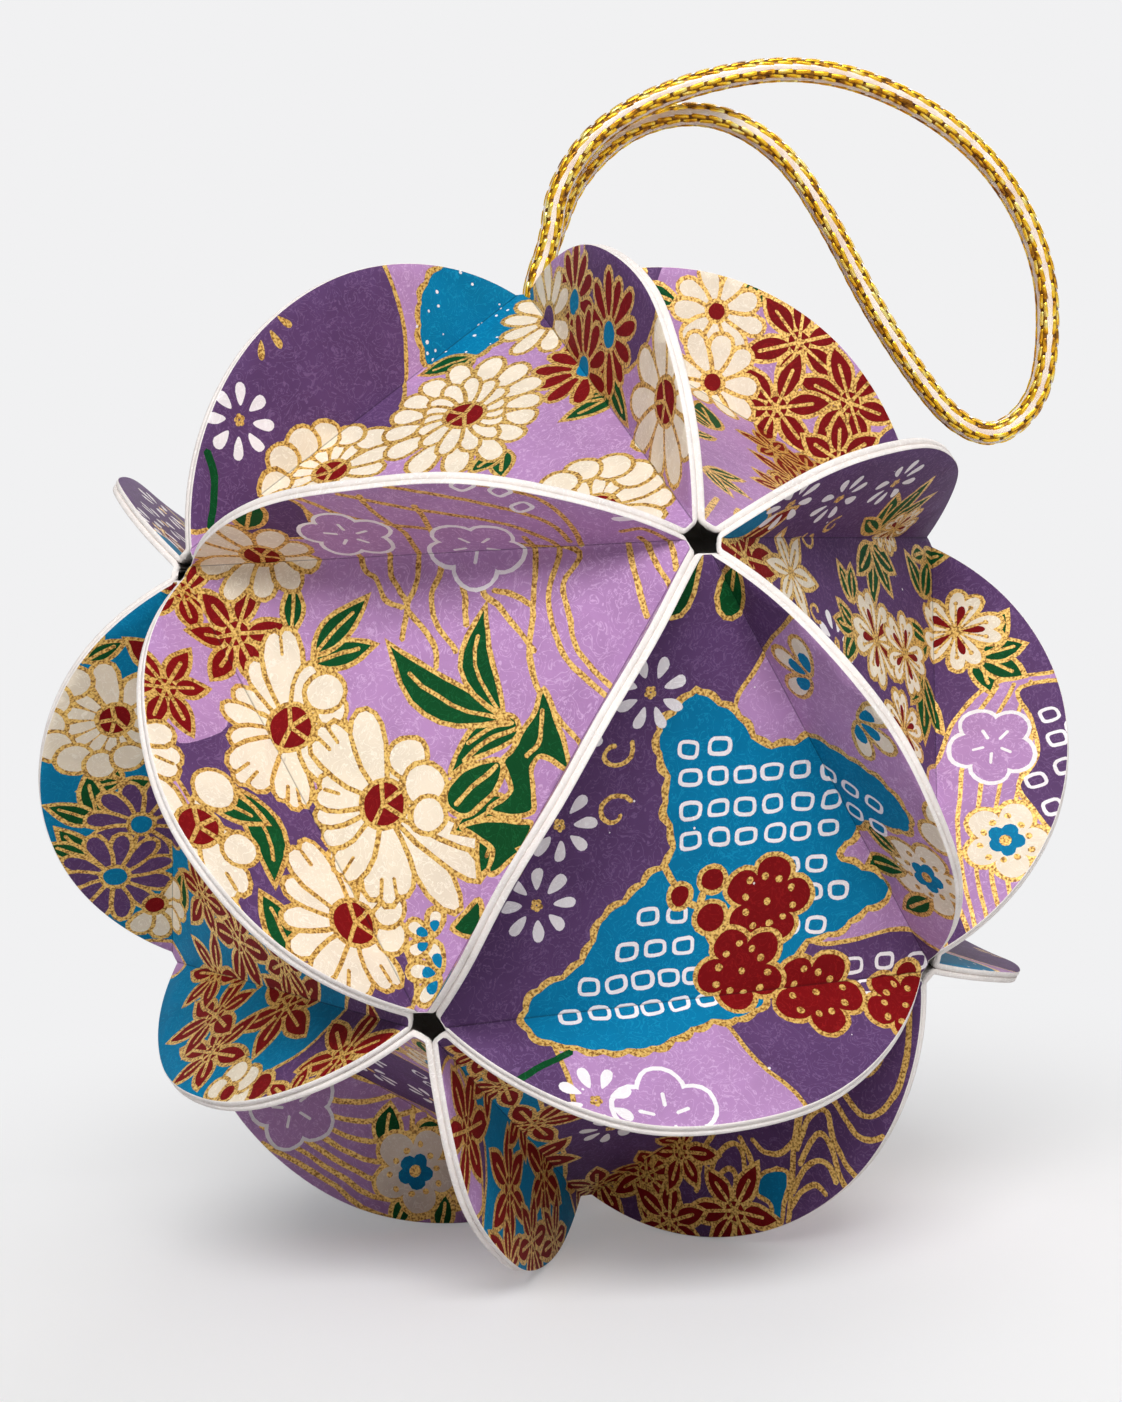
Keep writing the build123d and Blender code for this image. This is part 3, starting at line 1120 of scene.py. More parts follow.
def clouds_and_plums():
    """A turquoise cloud of tie-dyed dots on purple, with red plum blossoms on a gold twig."""
    sheet = Layout("purple", 2)
    patch(sheet, "lilac", [
        (-24.5, 10.3), (-16.2, 5), (-12.6, 2.9), (-8.8, 4), (0, 12), (8.2, 10.4), (9.4, 13.5), (8.8, 18),
        (8.6, 25), (0, 28), (-12, 26), (-22, 18),
    ])
    patch(sheet, "lilac", [
        (15.4, 0.9), (20, 3.2), (25.4, 5.8), (28, 0), (27, -9), (25.4, -13.2), (20, -12.9), (15, -12.6),
        (17, -6),
    ])
    plum(sheet, (-0.5, 22.4), 4.4, "cream", 100, "turquoise")
    flower(sheet, (-8.5, 27), [(240, 5, 3.6, 0), (290, 5.4, 3.6, 0)], 1.2)
    iris(sheet, (-17.6, 10.8), 4.2, 262)
    iris(sheet, (-15.8, 15.4), 4.2, 75)
    for root, tip, width in (
        ((2.4, 22.8), (6.4, 19.8), 2.2), ((0.6, 20), (3, 15.4), 2.4), ((-1, 19.4), (-2.6, 15.4), 1.8),
    ):
        leaf(sheet, root, tip, width)
    cloud(sheet, "turquoise", [
        (-14, -0.6), (-12.8, 1.2), (-11.6, 3.1), (-9.2, 5), (-8.9, 8.3), (-9.9, 10.6), (-10.2, 14.4),
        (-9.8, 18.2), (-8.2, 20.4), (-5.8, 20.7), (-4.4, 18.9), (-3.2, 16.4), (-1.4, 15), (0.2, 14),
        (1.4, 12.7), (2.7, 14.6), (3.9, 17.2), (5.7, 17.8), (6.8, 15.4), (8.2, 13.4), (8.7, 11.2),
        (9.8, 9.4), (11.8, 8.4), (13.4, 6.6), (15, 5.4), (15.9, 2.8), (15.8, 0.6), (16.6, -2), (17.6, -5),
        (17.3, -9), (16.4, -12), (15, -14.6), (13, -15.2), (10.8, -13.8), (9.4, -11), (7.6, -9.4),
        (5.2, -8.4), (3.4, -6), (1.6, -4), (0.6, -2.6), (-1.4, -2.4), (-4, -3.1), (-6.6, -2.9),
        (-9.2, -3.8), (-11.2, -3.7), (-12.4, -2.4),
    ])
    columns = [
        (-9, [1.6, -1.2]), (-6.5, [9, 6.3, 4, 1.5, -1]), (-6.1, [17, 14.3, 11.8]),
        (-3.7, [12, 9.3, 6.5, 4, 1.6, -0.9]), (-3.2, [17.3, 14.7]),
        (-1.1, [11.8, 9.2, 6.8, 4.2, 1.8, -0.8]), (2, [10.8, 8.3]), (4.6, [13, 10.5]), (7.6, [11, 8.5]),
        (5.3, [-1.8, -4.4]), (8.2, [-1.2, -3.7, -6.2]), (11, [-0.2, -2.4, -4.7, -7, -9.5]),
        (13.6, [1, -1.5, -4, -6.2, -8.6, -11.2]),
    ]
    kanoko(sheet, [(u, v) for u, rows in columns for v in rows], "turquoise")
    kanoko(sheet, [(11.7, 17.8), (11.8, 14.7), (14.3, 15.9), (12, 21), (14.4, 21.4)], "purple")
    for twig in (
        [(3.7, -1.6), (4.6, -0.4), (5.6, 1.6), (6.6, 4)],
        [(2.6, 1.3), (4.2, 0.4), (6.4, 0.4), (9, 2)],
        [(0.9, -3), (2.2, -2.4), (3.7, -1.6)],
        [(8, 8), (10.6, 6.8), (13, 8.4)],
    ):
        stroke(sheet, "gold", twig, 0.6)
    for at, radius in (((2.6, 1.3), 1.2), ((6, 1.2), 1.5), ((3.7, -1.6), 1.1), ((13, 20), 1.2)):
        bud(sheet, at, radius)
    for at, reach, turn in (
        ((16.4, 18.6), 3.8, 60), ((14.1, 11), 4.3, 75), ((4.9, 6.4), 4.2, 95), ((11, 4.2), 4.2, 60),
    ):
        plum(sheet, at, reach, "red", turn)
    plum_line(sheet, (23.8, -6), 4.4, "lilac", 100)
    for at, reach, turn in (
        ((-14, -4.6), 3.2, 20), ((3.3, -14), 3.3, 0), ((-3.4, -12.2), 3.2, 0), ((21.6, -11.2), 3.2, 10),
    ):
        daisy(sheet, at, reach, turn)
    stroke(sheet, "green", [(17, -12), (17.7, -14.4), (19, -17.2)], 0.6)
    curl(sheet, (-9.2, -7.6), 1.6, 120, -1)
    curl(sheet, (-4, -7.6), 1.7, 120, 1)
    for at, direction in (((-26, 3.2), -12), ((-26, -0.8), -24)):
        sheet.outlined("green", petal(at, direction, 0, 6.2, 3.4))
        sheet.field("gold", band(complex(*at) + heading(direction) * np.array([0, 3.6]), thin_line))
    patch(sheet, "lilac", [(-22, -8), (-17, -13), (-12, -21), (-14, -26), (-24, -18)])
    plum(sheet, (-16.4, -16.6), 3.6, "cream", 20, "turquoise")
    daisy(sheet, (-11, -11.6), 3, 30)
    plum(sheet, (-6.4, -19.6), 3.6, "red", 80)
    bud(sheet, (-2.2, -17.6), 1.2)
    kanoko(sheet, [(2, -20), (4.4, -21.6), (2.4, -22.8), (7, -22.6)], "purple", 20)
    specks(sheet, "white", 14, (-22, -22), (22, 22), 0.1)
    return sheet


def red_daisies():
    """Red and cream daisies on lilac, a blue pond, and a purple hill edged in gold."""
    sheet = Layout("lilac", 3)
    patch(sheet, "purple", [
        (-20.6, 15.4), (-15, 12.6), (-9, 15), (-5.4, 17.4), (-6, 24), (-12, 26), (-21, 19),
    ])
    patch(sheet, "purple", [
        (-20.4, -15), (-16, -10.8), (-10, -8.2), (-4.4, -7.8), (2, -10), (7.4, -18), (10.6, -25),
        (0, -28), (-14, -25), (-21, -19),
    ])
    cloud(sheet, "turquoise", [
        (-27, 1.6), (-22, 1.8), (-18.6, 0.2), (-15.6, -1.8), (-14, -4), (-14.2, -7), (-17, -9.4),
        (-21, -10.4), (-24.4, -8.8), (-27, -6),
    ])
    specks(sheet, "white", 26, (-25, -10), (-14.6, 1), 0.14)
    stroke(sheet, "green", [(3.6, -24.4), (6, -22.6), (9.6, -21.4)], 0.7)
    daisy(sheet, (-0.2, -22.6), 3.4, 22)
    for u, v, turn in ((-10.4, -22.2, 90), (-8.6, -22.4, 70), (-7, -23.2, 30)):
        sheet.field("gold", petal((u, v), turn, -0.9, 0.9, 0.9))
    for at, *leaves in (
        ((-7.4, 13.6), (14, 6, 2.4), (-52, 6.8, 2.4), (-75, 5, 1.6)),
        ((0.4, 3.6), (10, 4.4, 2.2), (-35, 4, 2.2)),
        ((-15, -2.6), (-30, 3.4, 2), (-62, 5.4, 2.6)),
    ):
        spray(sheet, at, *leaves)
    for at, count, reach, width, ink, eye, eye_ink, turn in (
        ((-10.5, 15.5), 12, 5.5, 2.3, "red", 1.4, "turquoise", 0),
        ((-17.6, 10.4), 11, 5.2, 2.3, "red", 1.4, "turquoise", 12),
        ((-11.2, 9.2), 11, 5.4, 2.4, "red", 1.4, "turquoise", 4),
        ((-20, 4.2), 10, 5.6, 2.7, "cream", 1.5, "purple", 8),
        ((1, 22.6), 10, 7.2, 3.8, "cream", 2.1, "red", 20),
    ):
        round_flower(sheet, at, count, reach, width, ink, eye, eye_ink, turn)
    flower(sheet, (9.8, 13.6), [
        (100, 6.8, 4, 1), (125, 6.6, 3.2, 1), (150, 7, 3.6, 0), (175, 7.4, 3.4, 0), (200, 7.4, 3.2, 0),
        (225, 7, 3.4, 0), (250, 6.4, 3, 1), (75, 6.4, 3, 1), (50, 6.6, 3.4, 1), (20, 6.6, 4, 2),
        (340, 6.6, 4, 2), (300, 6.4, 4, 2),
    ], 2)
    flower(sheet, (2, -12), [
        (150, 7, 3.4, 0), (178, 7, 3.2, 0), (205, 7, 3.2, 0), (232, 7, 3.4, 0), (260, 7, 3.4, 0),
        (288, 7, 3.4, 0), (316, 7, 3.2, 0), (344, 6.6, 3.2, 0), (20, 6, 3, 1), (55, 5.6, 3, 1),
        (90, 5, 3, 1), (120, 6, 3, 1),
    ], 1.6)
    outer = [
        (8, 9.2), (33, 8.6), (57, 7.4), (81, 7), (105, 7.2), (129, 8), (151, 8.8), (173, 9.4), (196, 8.8),
        (220, 7.8), (243, 7.2), (267, 7), (291, 7.6), (315, 8.4), (342, 9.2),
    ]
    inner = [(direction + 12, reach - 3.1, 2.5, 1) for direction, reach in outer]
    sheet.outlined("cream", *[petal((-5.3, -1.3), direction, 3.6, reach, 3.3) for direction, reach in outer])
    flower(sheet, (-5.3, -1.3), inner, 1.9)
    stream(sheet, [(9, 3), (15, 1), (24, 2)], [(8, -6), (15, -5), (23.4, -8)], 6)
    maple(sheet, (14, 3.6), 4.6, 15)
    plum_line(sheet, (19.6, -3.6), 4, "lilac", 80)
    maple(sheet, (20.4, 6.4), 3.8, 40)
    leaf(sheet, (11, -6), (17, -10.4), 2.8)
    leaf(sheet, (10.6, -4.6), (16, -3.6), 2.2)
    round_flower(sheet, (13.4, -14.6), 10, 5, 2.8, "cream", 1.5, "red")
    plum(sheet, (19.4, -12.4), 3, "red", 30)
    return sheet


def autumn_corner():
    """Maples and cream flowers crowding one flap of a lilac disc, thinning out towards its middle."""
    sheet = Layout("lilac", 4)
    patch(sheet, "purple", [(-24, 14), (-20, 9), (-24, 4), (-28, 8)], line=None)
    patch(sheet, "purple", [
        (3.4, 27), (4.6, 18), (9, 8), (13, -4), (19, -14), (26, -10), (28, 6), (16, 24),
    ])
    for at, *leaves in (
        ((-15.4, 18), (75, 5, 2), (110, 4.6, 2)),
        ((-21.6, 9.4), (40, 5, 2.2), (150, 3, 1.8)),
        ((-2.4, 1.6), (138, 7, 3.2), (170, 5.4, 2.4), (205, 3.6, 1.8)),
        ((-1.6, -4.6), (80, 4, 1.6), (120, 4.2, 1.4)),
        ((4.4, -10.4), (70, 5, 1.8), (20, 4.6, 1.8), (-20, 4.4, 1.6)),
    ):
        spray(sheet, at, *leaves)
    for at, reach, turn in (
        ((-9, 21), 5.6, 12), ((-1.4, 22.6), 5.4, 40), ((-4.6, 15.8), 5.4, 5), ((3, 18.6), 5, 30),
        ((3.4, 12), 5, 0), ((5.8, 5.6), 4.8, 20), ((0.4, 9.6), 4.2, 45), ((7.4, 0.4), 4, 10),
    ):
        maple(sheet, at, reach, turn)
    for at, count, reach, width, ink, eye, eye_ink, turn in (
        ((-15.6, 15.3), 9, 4.8, 2.8, "cream", 1.1, "red", 0),
        ((-9.9, 11.4), 9, 5, 2.9, "cream", 1.1, "red", 15),
        ((-20, 3.4), 10, 5, 2.6, "cream", 1.3, "purple", 15),
        ((-13, 3.6), 11, 4.6, 2.1, "red", 1.3, "turquoise", 15),
        ((-12.2, -12.8), 12, 5.6, 2.5, "red", 1.4, "turquoise", 5),
        ((-19, -6.6), 11, 5.4, 2.5, "red", 1.4, "turquoise", 0),
        ((-0.4, -20.8), 10, 7, 3.8, "cream", 2.1, "red", 10),
    ):
        round_flower(sheet, at, count, reach, width, ink, eye, eye_ink, turn)
    leaf(sheet, (-8.6, -8.4), (-3.6, -12.8), 2.8)
    leaf(sheet, (-9.6, -6.4), (-4.6, -6.4), 2.2)
    round_flower(sheet, (-8.2, -19.4), 9, 4.6, 2.7, "cream", 1.2, "purple")
    for at, turn in (
        ((18.6, 4.4), 0), ((16.4, -4.6), 20), ((21.4, -0.8), 10), ((12.4, 14.6), 15), ((17.8, 12), 5),
    ):
        daisy(sheet, at, 3, turn)
    for root, tip, width, bend in (
        ((9.6, 21.6), (12.6, 11), 2, 0.05), ((12.8, 10.8), (17, 7), 2.6, 0),
        ((15.4, 12.6), (21.8, 13.6), 2.4, 0),
    ):
        leaf(sheet, root, tip, width, bend)
    cherry(sheet, (20.6, 17.6), 3.6)
    stream(sheet, [(12, -12), (14.4, -16), (17.6, -18.8)], [(9, -15), (10.4, -18.4), (12, -22)], 3)
    return sheet


def blossoms_on_purple():
    """Cherry blossoms and leaves on purple, with a lilac bank of plums across one flap."""
    sheet = Layout("purple", 5)
    patch(sheet, "lilac", [
        (-27, -4), (-16, -6.2), (-9.8, -7.4), (-9, -10.4), (-6.2, -14), (-4.6, -19), (-6.4, -24),
        (-8, -28), (-14, -22.4), (-19, -16), (-26, -11),
    ])
    stream(sheet, [(-25, -4.6), (-17, -7.8), (-8, -14.4), (-5, -19.4)], [
        (-25.4, -8.2), (-20, -11), (-12, -18.4), (-7, -23.6),
    ], 4, 0.42)
    patch(sheet, "purple", [
        (-6.4, -21), (-9.4, -20), (-12.4, -19), (-13.8, -17.6), (-15, -15.4), (-17.8, -15.2),
        (-20.4, -15.4), (-23, -16), (-19, -23.4), (-10, -27),
    ])
    kanoko(sheet, [
        (-18.4, -16.8), (-15.3, -17), (-21, -14.4), (-15.4, -19.8), (-12.8, -20.9), (-10.3, -21.6),
        (-18, -19.4), (-12.6, -23),
    ], "purple", -10)
    plum_line(sheet, (-10.2, -15.6), 4, "lilac", 70)
    plum(sheet, (-19, -11.5), 4, "cream", 90, "turquoise")
    patch(sheet, "lilac", [
        (-26, 16), (-27, 0), (-20, -1.4), (-13, -1), (-6, 4.4), (-0.6, 10), (3.6, 16), (3.4, 26),
        (-10, 27),
    ])
    cloud(sheet, "turquoise", [
        (-15, 15), (-11, 15.6), (-5, 13), (-7, 7.6), (-9, 2), (-14.4, -1), (-15, 5),
    ])
    kanoko(sheet, [
        (-12, 11.8), (-9.4, 9.8), (-13.6, 9.2), (-13, 6), (-11, 5.4), (-10.6, 12.6),
    ], "turquoise", 15)
    plum(sheet, (-19.8, 9.6), 4, "cream", 80, "turquoise")
    spray(sheet, (-17.4, 4.6), (70, 5, 2.4), (130, 5, 2.2), (230, 4.6, 2))
    for at, reach, turn in (
        ((-19, -0.6), 4.4, 240), ((-2.6, 19.4), 3.8, 100), ((-1, 12), 4, 60), ((-4.6, 4.6), 3.6, 250),
    ):
        iris(sheet, at, reach, turn)
    maple(sheet, (11.4, 18.6), 7, 10, 7)
    patch(sheet, "turquoise", [(13, 21.6), (17, 20.6), (16, 17), (13.4, 18)])
    for at, turn in (((17.4, 15.4), 15), ((18.4, 7.6), 0), ((20.8, -0.4), 10), ((3.4, 5), 10)):
        daisy(sheet, at, 3.1, turn)
    for at, radius, turn, way in (
        ((13.2, 5.4), 1.3, 60, 1), ((6.4, 7.6), 1.2, 200, -1), ((15, 3.4), 1.2, 0, 1),
    ):
        curl(sheet, at, radius, turn, way)
    lily(sheet, (10, 10.6), 4.6, 15)
    for at, *leaves in (
        ((4.6, 0.4), (128, 5, 2.2), (75, 4, 2), (40, 3.6, 1.8)),
        ((7, -0.6), (20, 4, 2), (-20, 3.8, 2)),
        ((12.4, -7.6), (155, 6.6, 2.6), (120, 5.4, 2.2), (200, 5.4, 2.6), (235, 5, 2.4)),
        ((14, -7.8), (40, 7, 2.6), (8, 8, 2.8), (-30, 6.6, 2.6), (70, 6, 2)),
        ((-0.4, -12.2), (150, 7.4, 2.8), (182, 6.4, 2.4), (120, 5, 2)),
        ((2.6, -15.2), (105, 4.6, 2), (60, 4.8, 2)),
        ((-1.2, -19.6), (165, 4.4, 2.4), (208, 5, 2.8), (255, 4.6, 2.6), (300, 5.6, 2.6)),
        ((7, -17), (20, 5, 2.4), (-40, 5, 2.4)),
        ((-5.4, -1.4), (60, 4, 2), (170, 4, 2)),
    ):
        spray(sheet, at, *leaves)
    for at, reach, turn in (
        ((-5.2, -4.8), 3.8, 60), ((3.4, -3.6), 4.7, 80), ((1.8, -9.2), 4.2, 110), ((2.4, -19.2), 4.6, 95),
        ((14.6, -11.2), 3.2, 60),
    ):
        cherry(sheet, at, reach, turn)
    spray(sheet, (11.6, -19.6), (250, 4, 2), (100, 3, 1.6))
    specks(sheet, "white", 16, (-6, -22), (24, 22), 0.1)
    return sheet


def maples_on_blue():
    """Maples crowded on turquoise, and purple daisies beside a great cream flower."""
    sheet = Layout("turquoise", 6)
    patch(sheet, "purple", [(10.4, 26), (10, 18), (12, 12.4), (18, 10.6), (22, 7.4), (28, 8), (22, 24)])
    patch(sheet, "lilac", [(9, -25), (12, -20.4), (15, -20), (16, -26)])
    patch(sheet, "lilac", [
        (-20, 17), (-16, 14.6), (-11, 13.6), (-9.6, 7), (-8.6, 0), (-12, -4.6), (-18, -6), (-24, -2),
        (-26, 8),
    ], line=None)
    patch(sheet, "purple", [(-16, 15.6), (-10, 15), (-8, 13.4), (-12, 12.6), (-16, 13)])
    patch(sheet, "purple", [(-10.6, 1), (-7, 3.6), (-6.6, -2), (-9, -5.4), (-12, -3)], line=None)
    for at, reach, turn in (
        ((-20, 10.8), 4.6, 15), ((-17, 4.4), 4.4, 20), ((-16.4, -5), 6, 15), ((-23.4, 2), 6, 50),
        ((-10.6, 20), 3.4, 20), ((17.4, 16.2), 5.2, 0), ((14.8, 2.8), 6, 10), ((21.2, -2.4), 5, 35),
        ((17.6, -7.2), 5.4, 15), ((9, -6), 5.6, 25), ((10.2, 2), 4.4, 40), ((22.6, 13.6), 3.8, 15),
        ((5, -11.4), 4.8, 5), ((13.4, -12.8), 4.6, 40), ((-3, -6), 4, 15),
    ):
        maple(sheet, at, reach, turn)
    bud(sheet, (22.4, 8.4), 1.6)
    flower(sheet, (24, 4.6), [(90, 3.4, 3, 0), (150, 3.6, 3, 0), (205, 3.6, 2.8, 0), (270, 3, 2.6, 0)], 1)
    for at, *leaves in (
        ((-9.2, -15.4), (30, 5.4, 2.4), (195, 4, 1.8), (250, 4, 1.8)),
        ((-6.4, -19.6), (160, 6, 2.4), (215, 5.4, 2.4)),
        ((-22.4, -11.4), (130, 4, 1.8), (90, 4, 1.8)),
        ((-3, -22.4), (190, 5, 2.2), (215, 4.8, 2)),
    ):
        spray(sheet, at, *leaves)
    flower(sheet, (-15.6, -12.4), [
        (20, 5.6, 3, 1), (50, 5, 3, 1), (85, 4.8, 3, 1), (120, 5.2, 3, 1), (160, 6.4, 3.4, 1),
        (190, 7.2, 3.4, 0), (215, 7.6, 3.4, 0), (240, 7.6, 3.4, 0), (264, 7.6, 3.4, 0),
        (288, 7.2, 3.4, 0), (314, 6.8, 3.2, 0), (345, 6, 3.2, 0),
    ], 1.7)
    round_flower(sheet, (-3.8, -16.6), 11, 5.4, 2.6, "purple", 1.3, "turquoise")
    round_flower(sheet, (0.3, -21.8), 11, 5.4, 2.6, "purple", 1.3, "turquoise", 12)
    leaf(sheet, (3, -14.6), (8.4, -18.8), 2.6)
    flower(sheet, (5.6, -20.6), [
        (60, 4.4, 3, 1), (100, 4.4, 3, 1), (20, 4.4, 3, 1), (340, 4.4, 3, 1), (300, 4, 3, 1),
    ], 1.2)
    flower(sheet, (4.2, 16.8), [
        (262, 11, 3.4, 1), (282, 10.6, 3.2, 1), (242, 10, 3, 1), (176, 8.4, 6, 3), (140, 7, 3.4, 1),
        (110, 7, 3.4, 1), (75, 7, 4.4, 2), (35, 6.6, 4.4, 2), (0, 5.6, 3.6, 2), (310, 6.4, 3.6, 2),
        (215, 8, 3, 1),
    ], 2.2)
    spray(sheet, (-5, 14.6), (160, 6, 2.8), (60, 5.4, 2.8), (110, 4, 2))
    spray(sheet, (-3.6, 8.4), (-20, 6, 3.4), (-80, 7, 3.4), (-55, 6.6, 2.6))
    flower(sheet, (-9, 7.6), [
        (30, 4.6, 3, 1), (80, 4.8, 3.4, 2), (130, 5, 3.4, 2), (180, 4.8, 3.2, 2), (230, 4.8, 3, 1),
        (280, 4.6, 3, 1), (330, 4.4, 3, 1),
    ], 1.5)
    flower(sheet, (-1.4, 1), [(240, 6, 3.6, 0), (300, 5, 3.4, 0), (190, 6, 3.2, 0), (0, 4, 3, 0)], 1.2)
    return sheet


def streams_on_lilac():
    """Gold running water over lilac, with outlined plums, and a maple bank in one corner."""
    sheet = Layout("lilac", 7)
    stream(sheet, [(-22, 8), (-19, 17), (-12, 21), (-6, 24.6)], [
        (-9, 8.6), (-7.4, 14), (-4, 17.6), (3.4, 19.6),
    ], 7)
    stream(sheet, [(-24, 2), (-16, 5), (-10, 4)], [(-20, 15), (-14, 12), (-10, 9)], 4)
    patch(sheet, "purple", [
        (-10, 6), (-5, 13), (2, 14.6), (9, 6), (8, -6), (2, -12), (-6, -8), (-12, -1),
    ])
    patch(sheet, "turquoise", [(6, 25), (9, 14), (14, 4), (20, -4), (27, -4), (24, 14)])
    patch(sheet, "turquoise", [(-26, 1), (-20, -3), (-12, -10), (-6, -18), (-9, -25), (-20, -17)])
    plum_line(sheet, (-4.4, 20), 4.4, "lilac", 60)
    plum_line(sheet, (1.6, 17.6), 3.6, "lilac", 95)
    for root, tip, width in (
        ((-12.6, 14), (-9, 11.4), 2.8), ((-19.6, 17.4), (-17.4, 14), 2),
        ((-22.4, 13.6), (-19.4, 11), 2.2), ((-13.6, 8), (-12.6, 10.8), 2),
    ):
        leaf(sheet, root, tip, width)
    plum(sheet, (-16, 12.6), 4.4, "cream", 85, "turquoise")
    for at, turn in (((-2, 6), 10), ((3.4, 0.6), 0), ((-5.6, -0.6), 20), ((3, 8.6), 15)):
        daisy(sheet, at, 3, turn)
    kanoko(sheet, [(-3.2, -5.4), (-0.6, -6.6), (2, -8), (-0.8, -9.4), (5.4, -4)], "purple", 25)
    for at, reach, turn in (
        ((12, 14.6), 5.2, 10), ((17.4, 8.6), 5.4, 30), ((21, 1.6), 5, 5), ((10.4, 21), 4.8, 20),
        ((18.4, 16.4), 4.6, 0), ((-17.8, -8.4), 5.4, 15), ((-22.4, -3.4), 4.8, 35),
        ((-11.6, -15.6), 5.4, 0), ((-17.4, -15.6), 4.6, 25), ((-6.8, -20.4), 4.6, 10),
        ((-10.2, -22.6), 4, 30), ((13.6, 5.6), 3.8, 0),
    ):
        maple(sheet, at, reach, turn)
    plum(sheet, (5.6, -16), 3.8, "cream", 70, "turquoise")
    stream(sheet, [(6, -10), (13, -9), (24, -11)], [(3, -20), (12, -17.4), (19, -20)], 5)
    plum_line(sheet, (15.6, -13.4), 4, "lilac", 40)
    leaf(sheet, (8.6, -18.6), (12.4, -21.4), 2.4)
    leaf(sheet, (9.6, -13.4), (7.4, -10.6), 2)
    return sheet


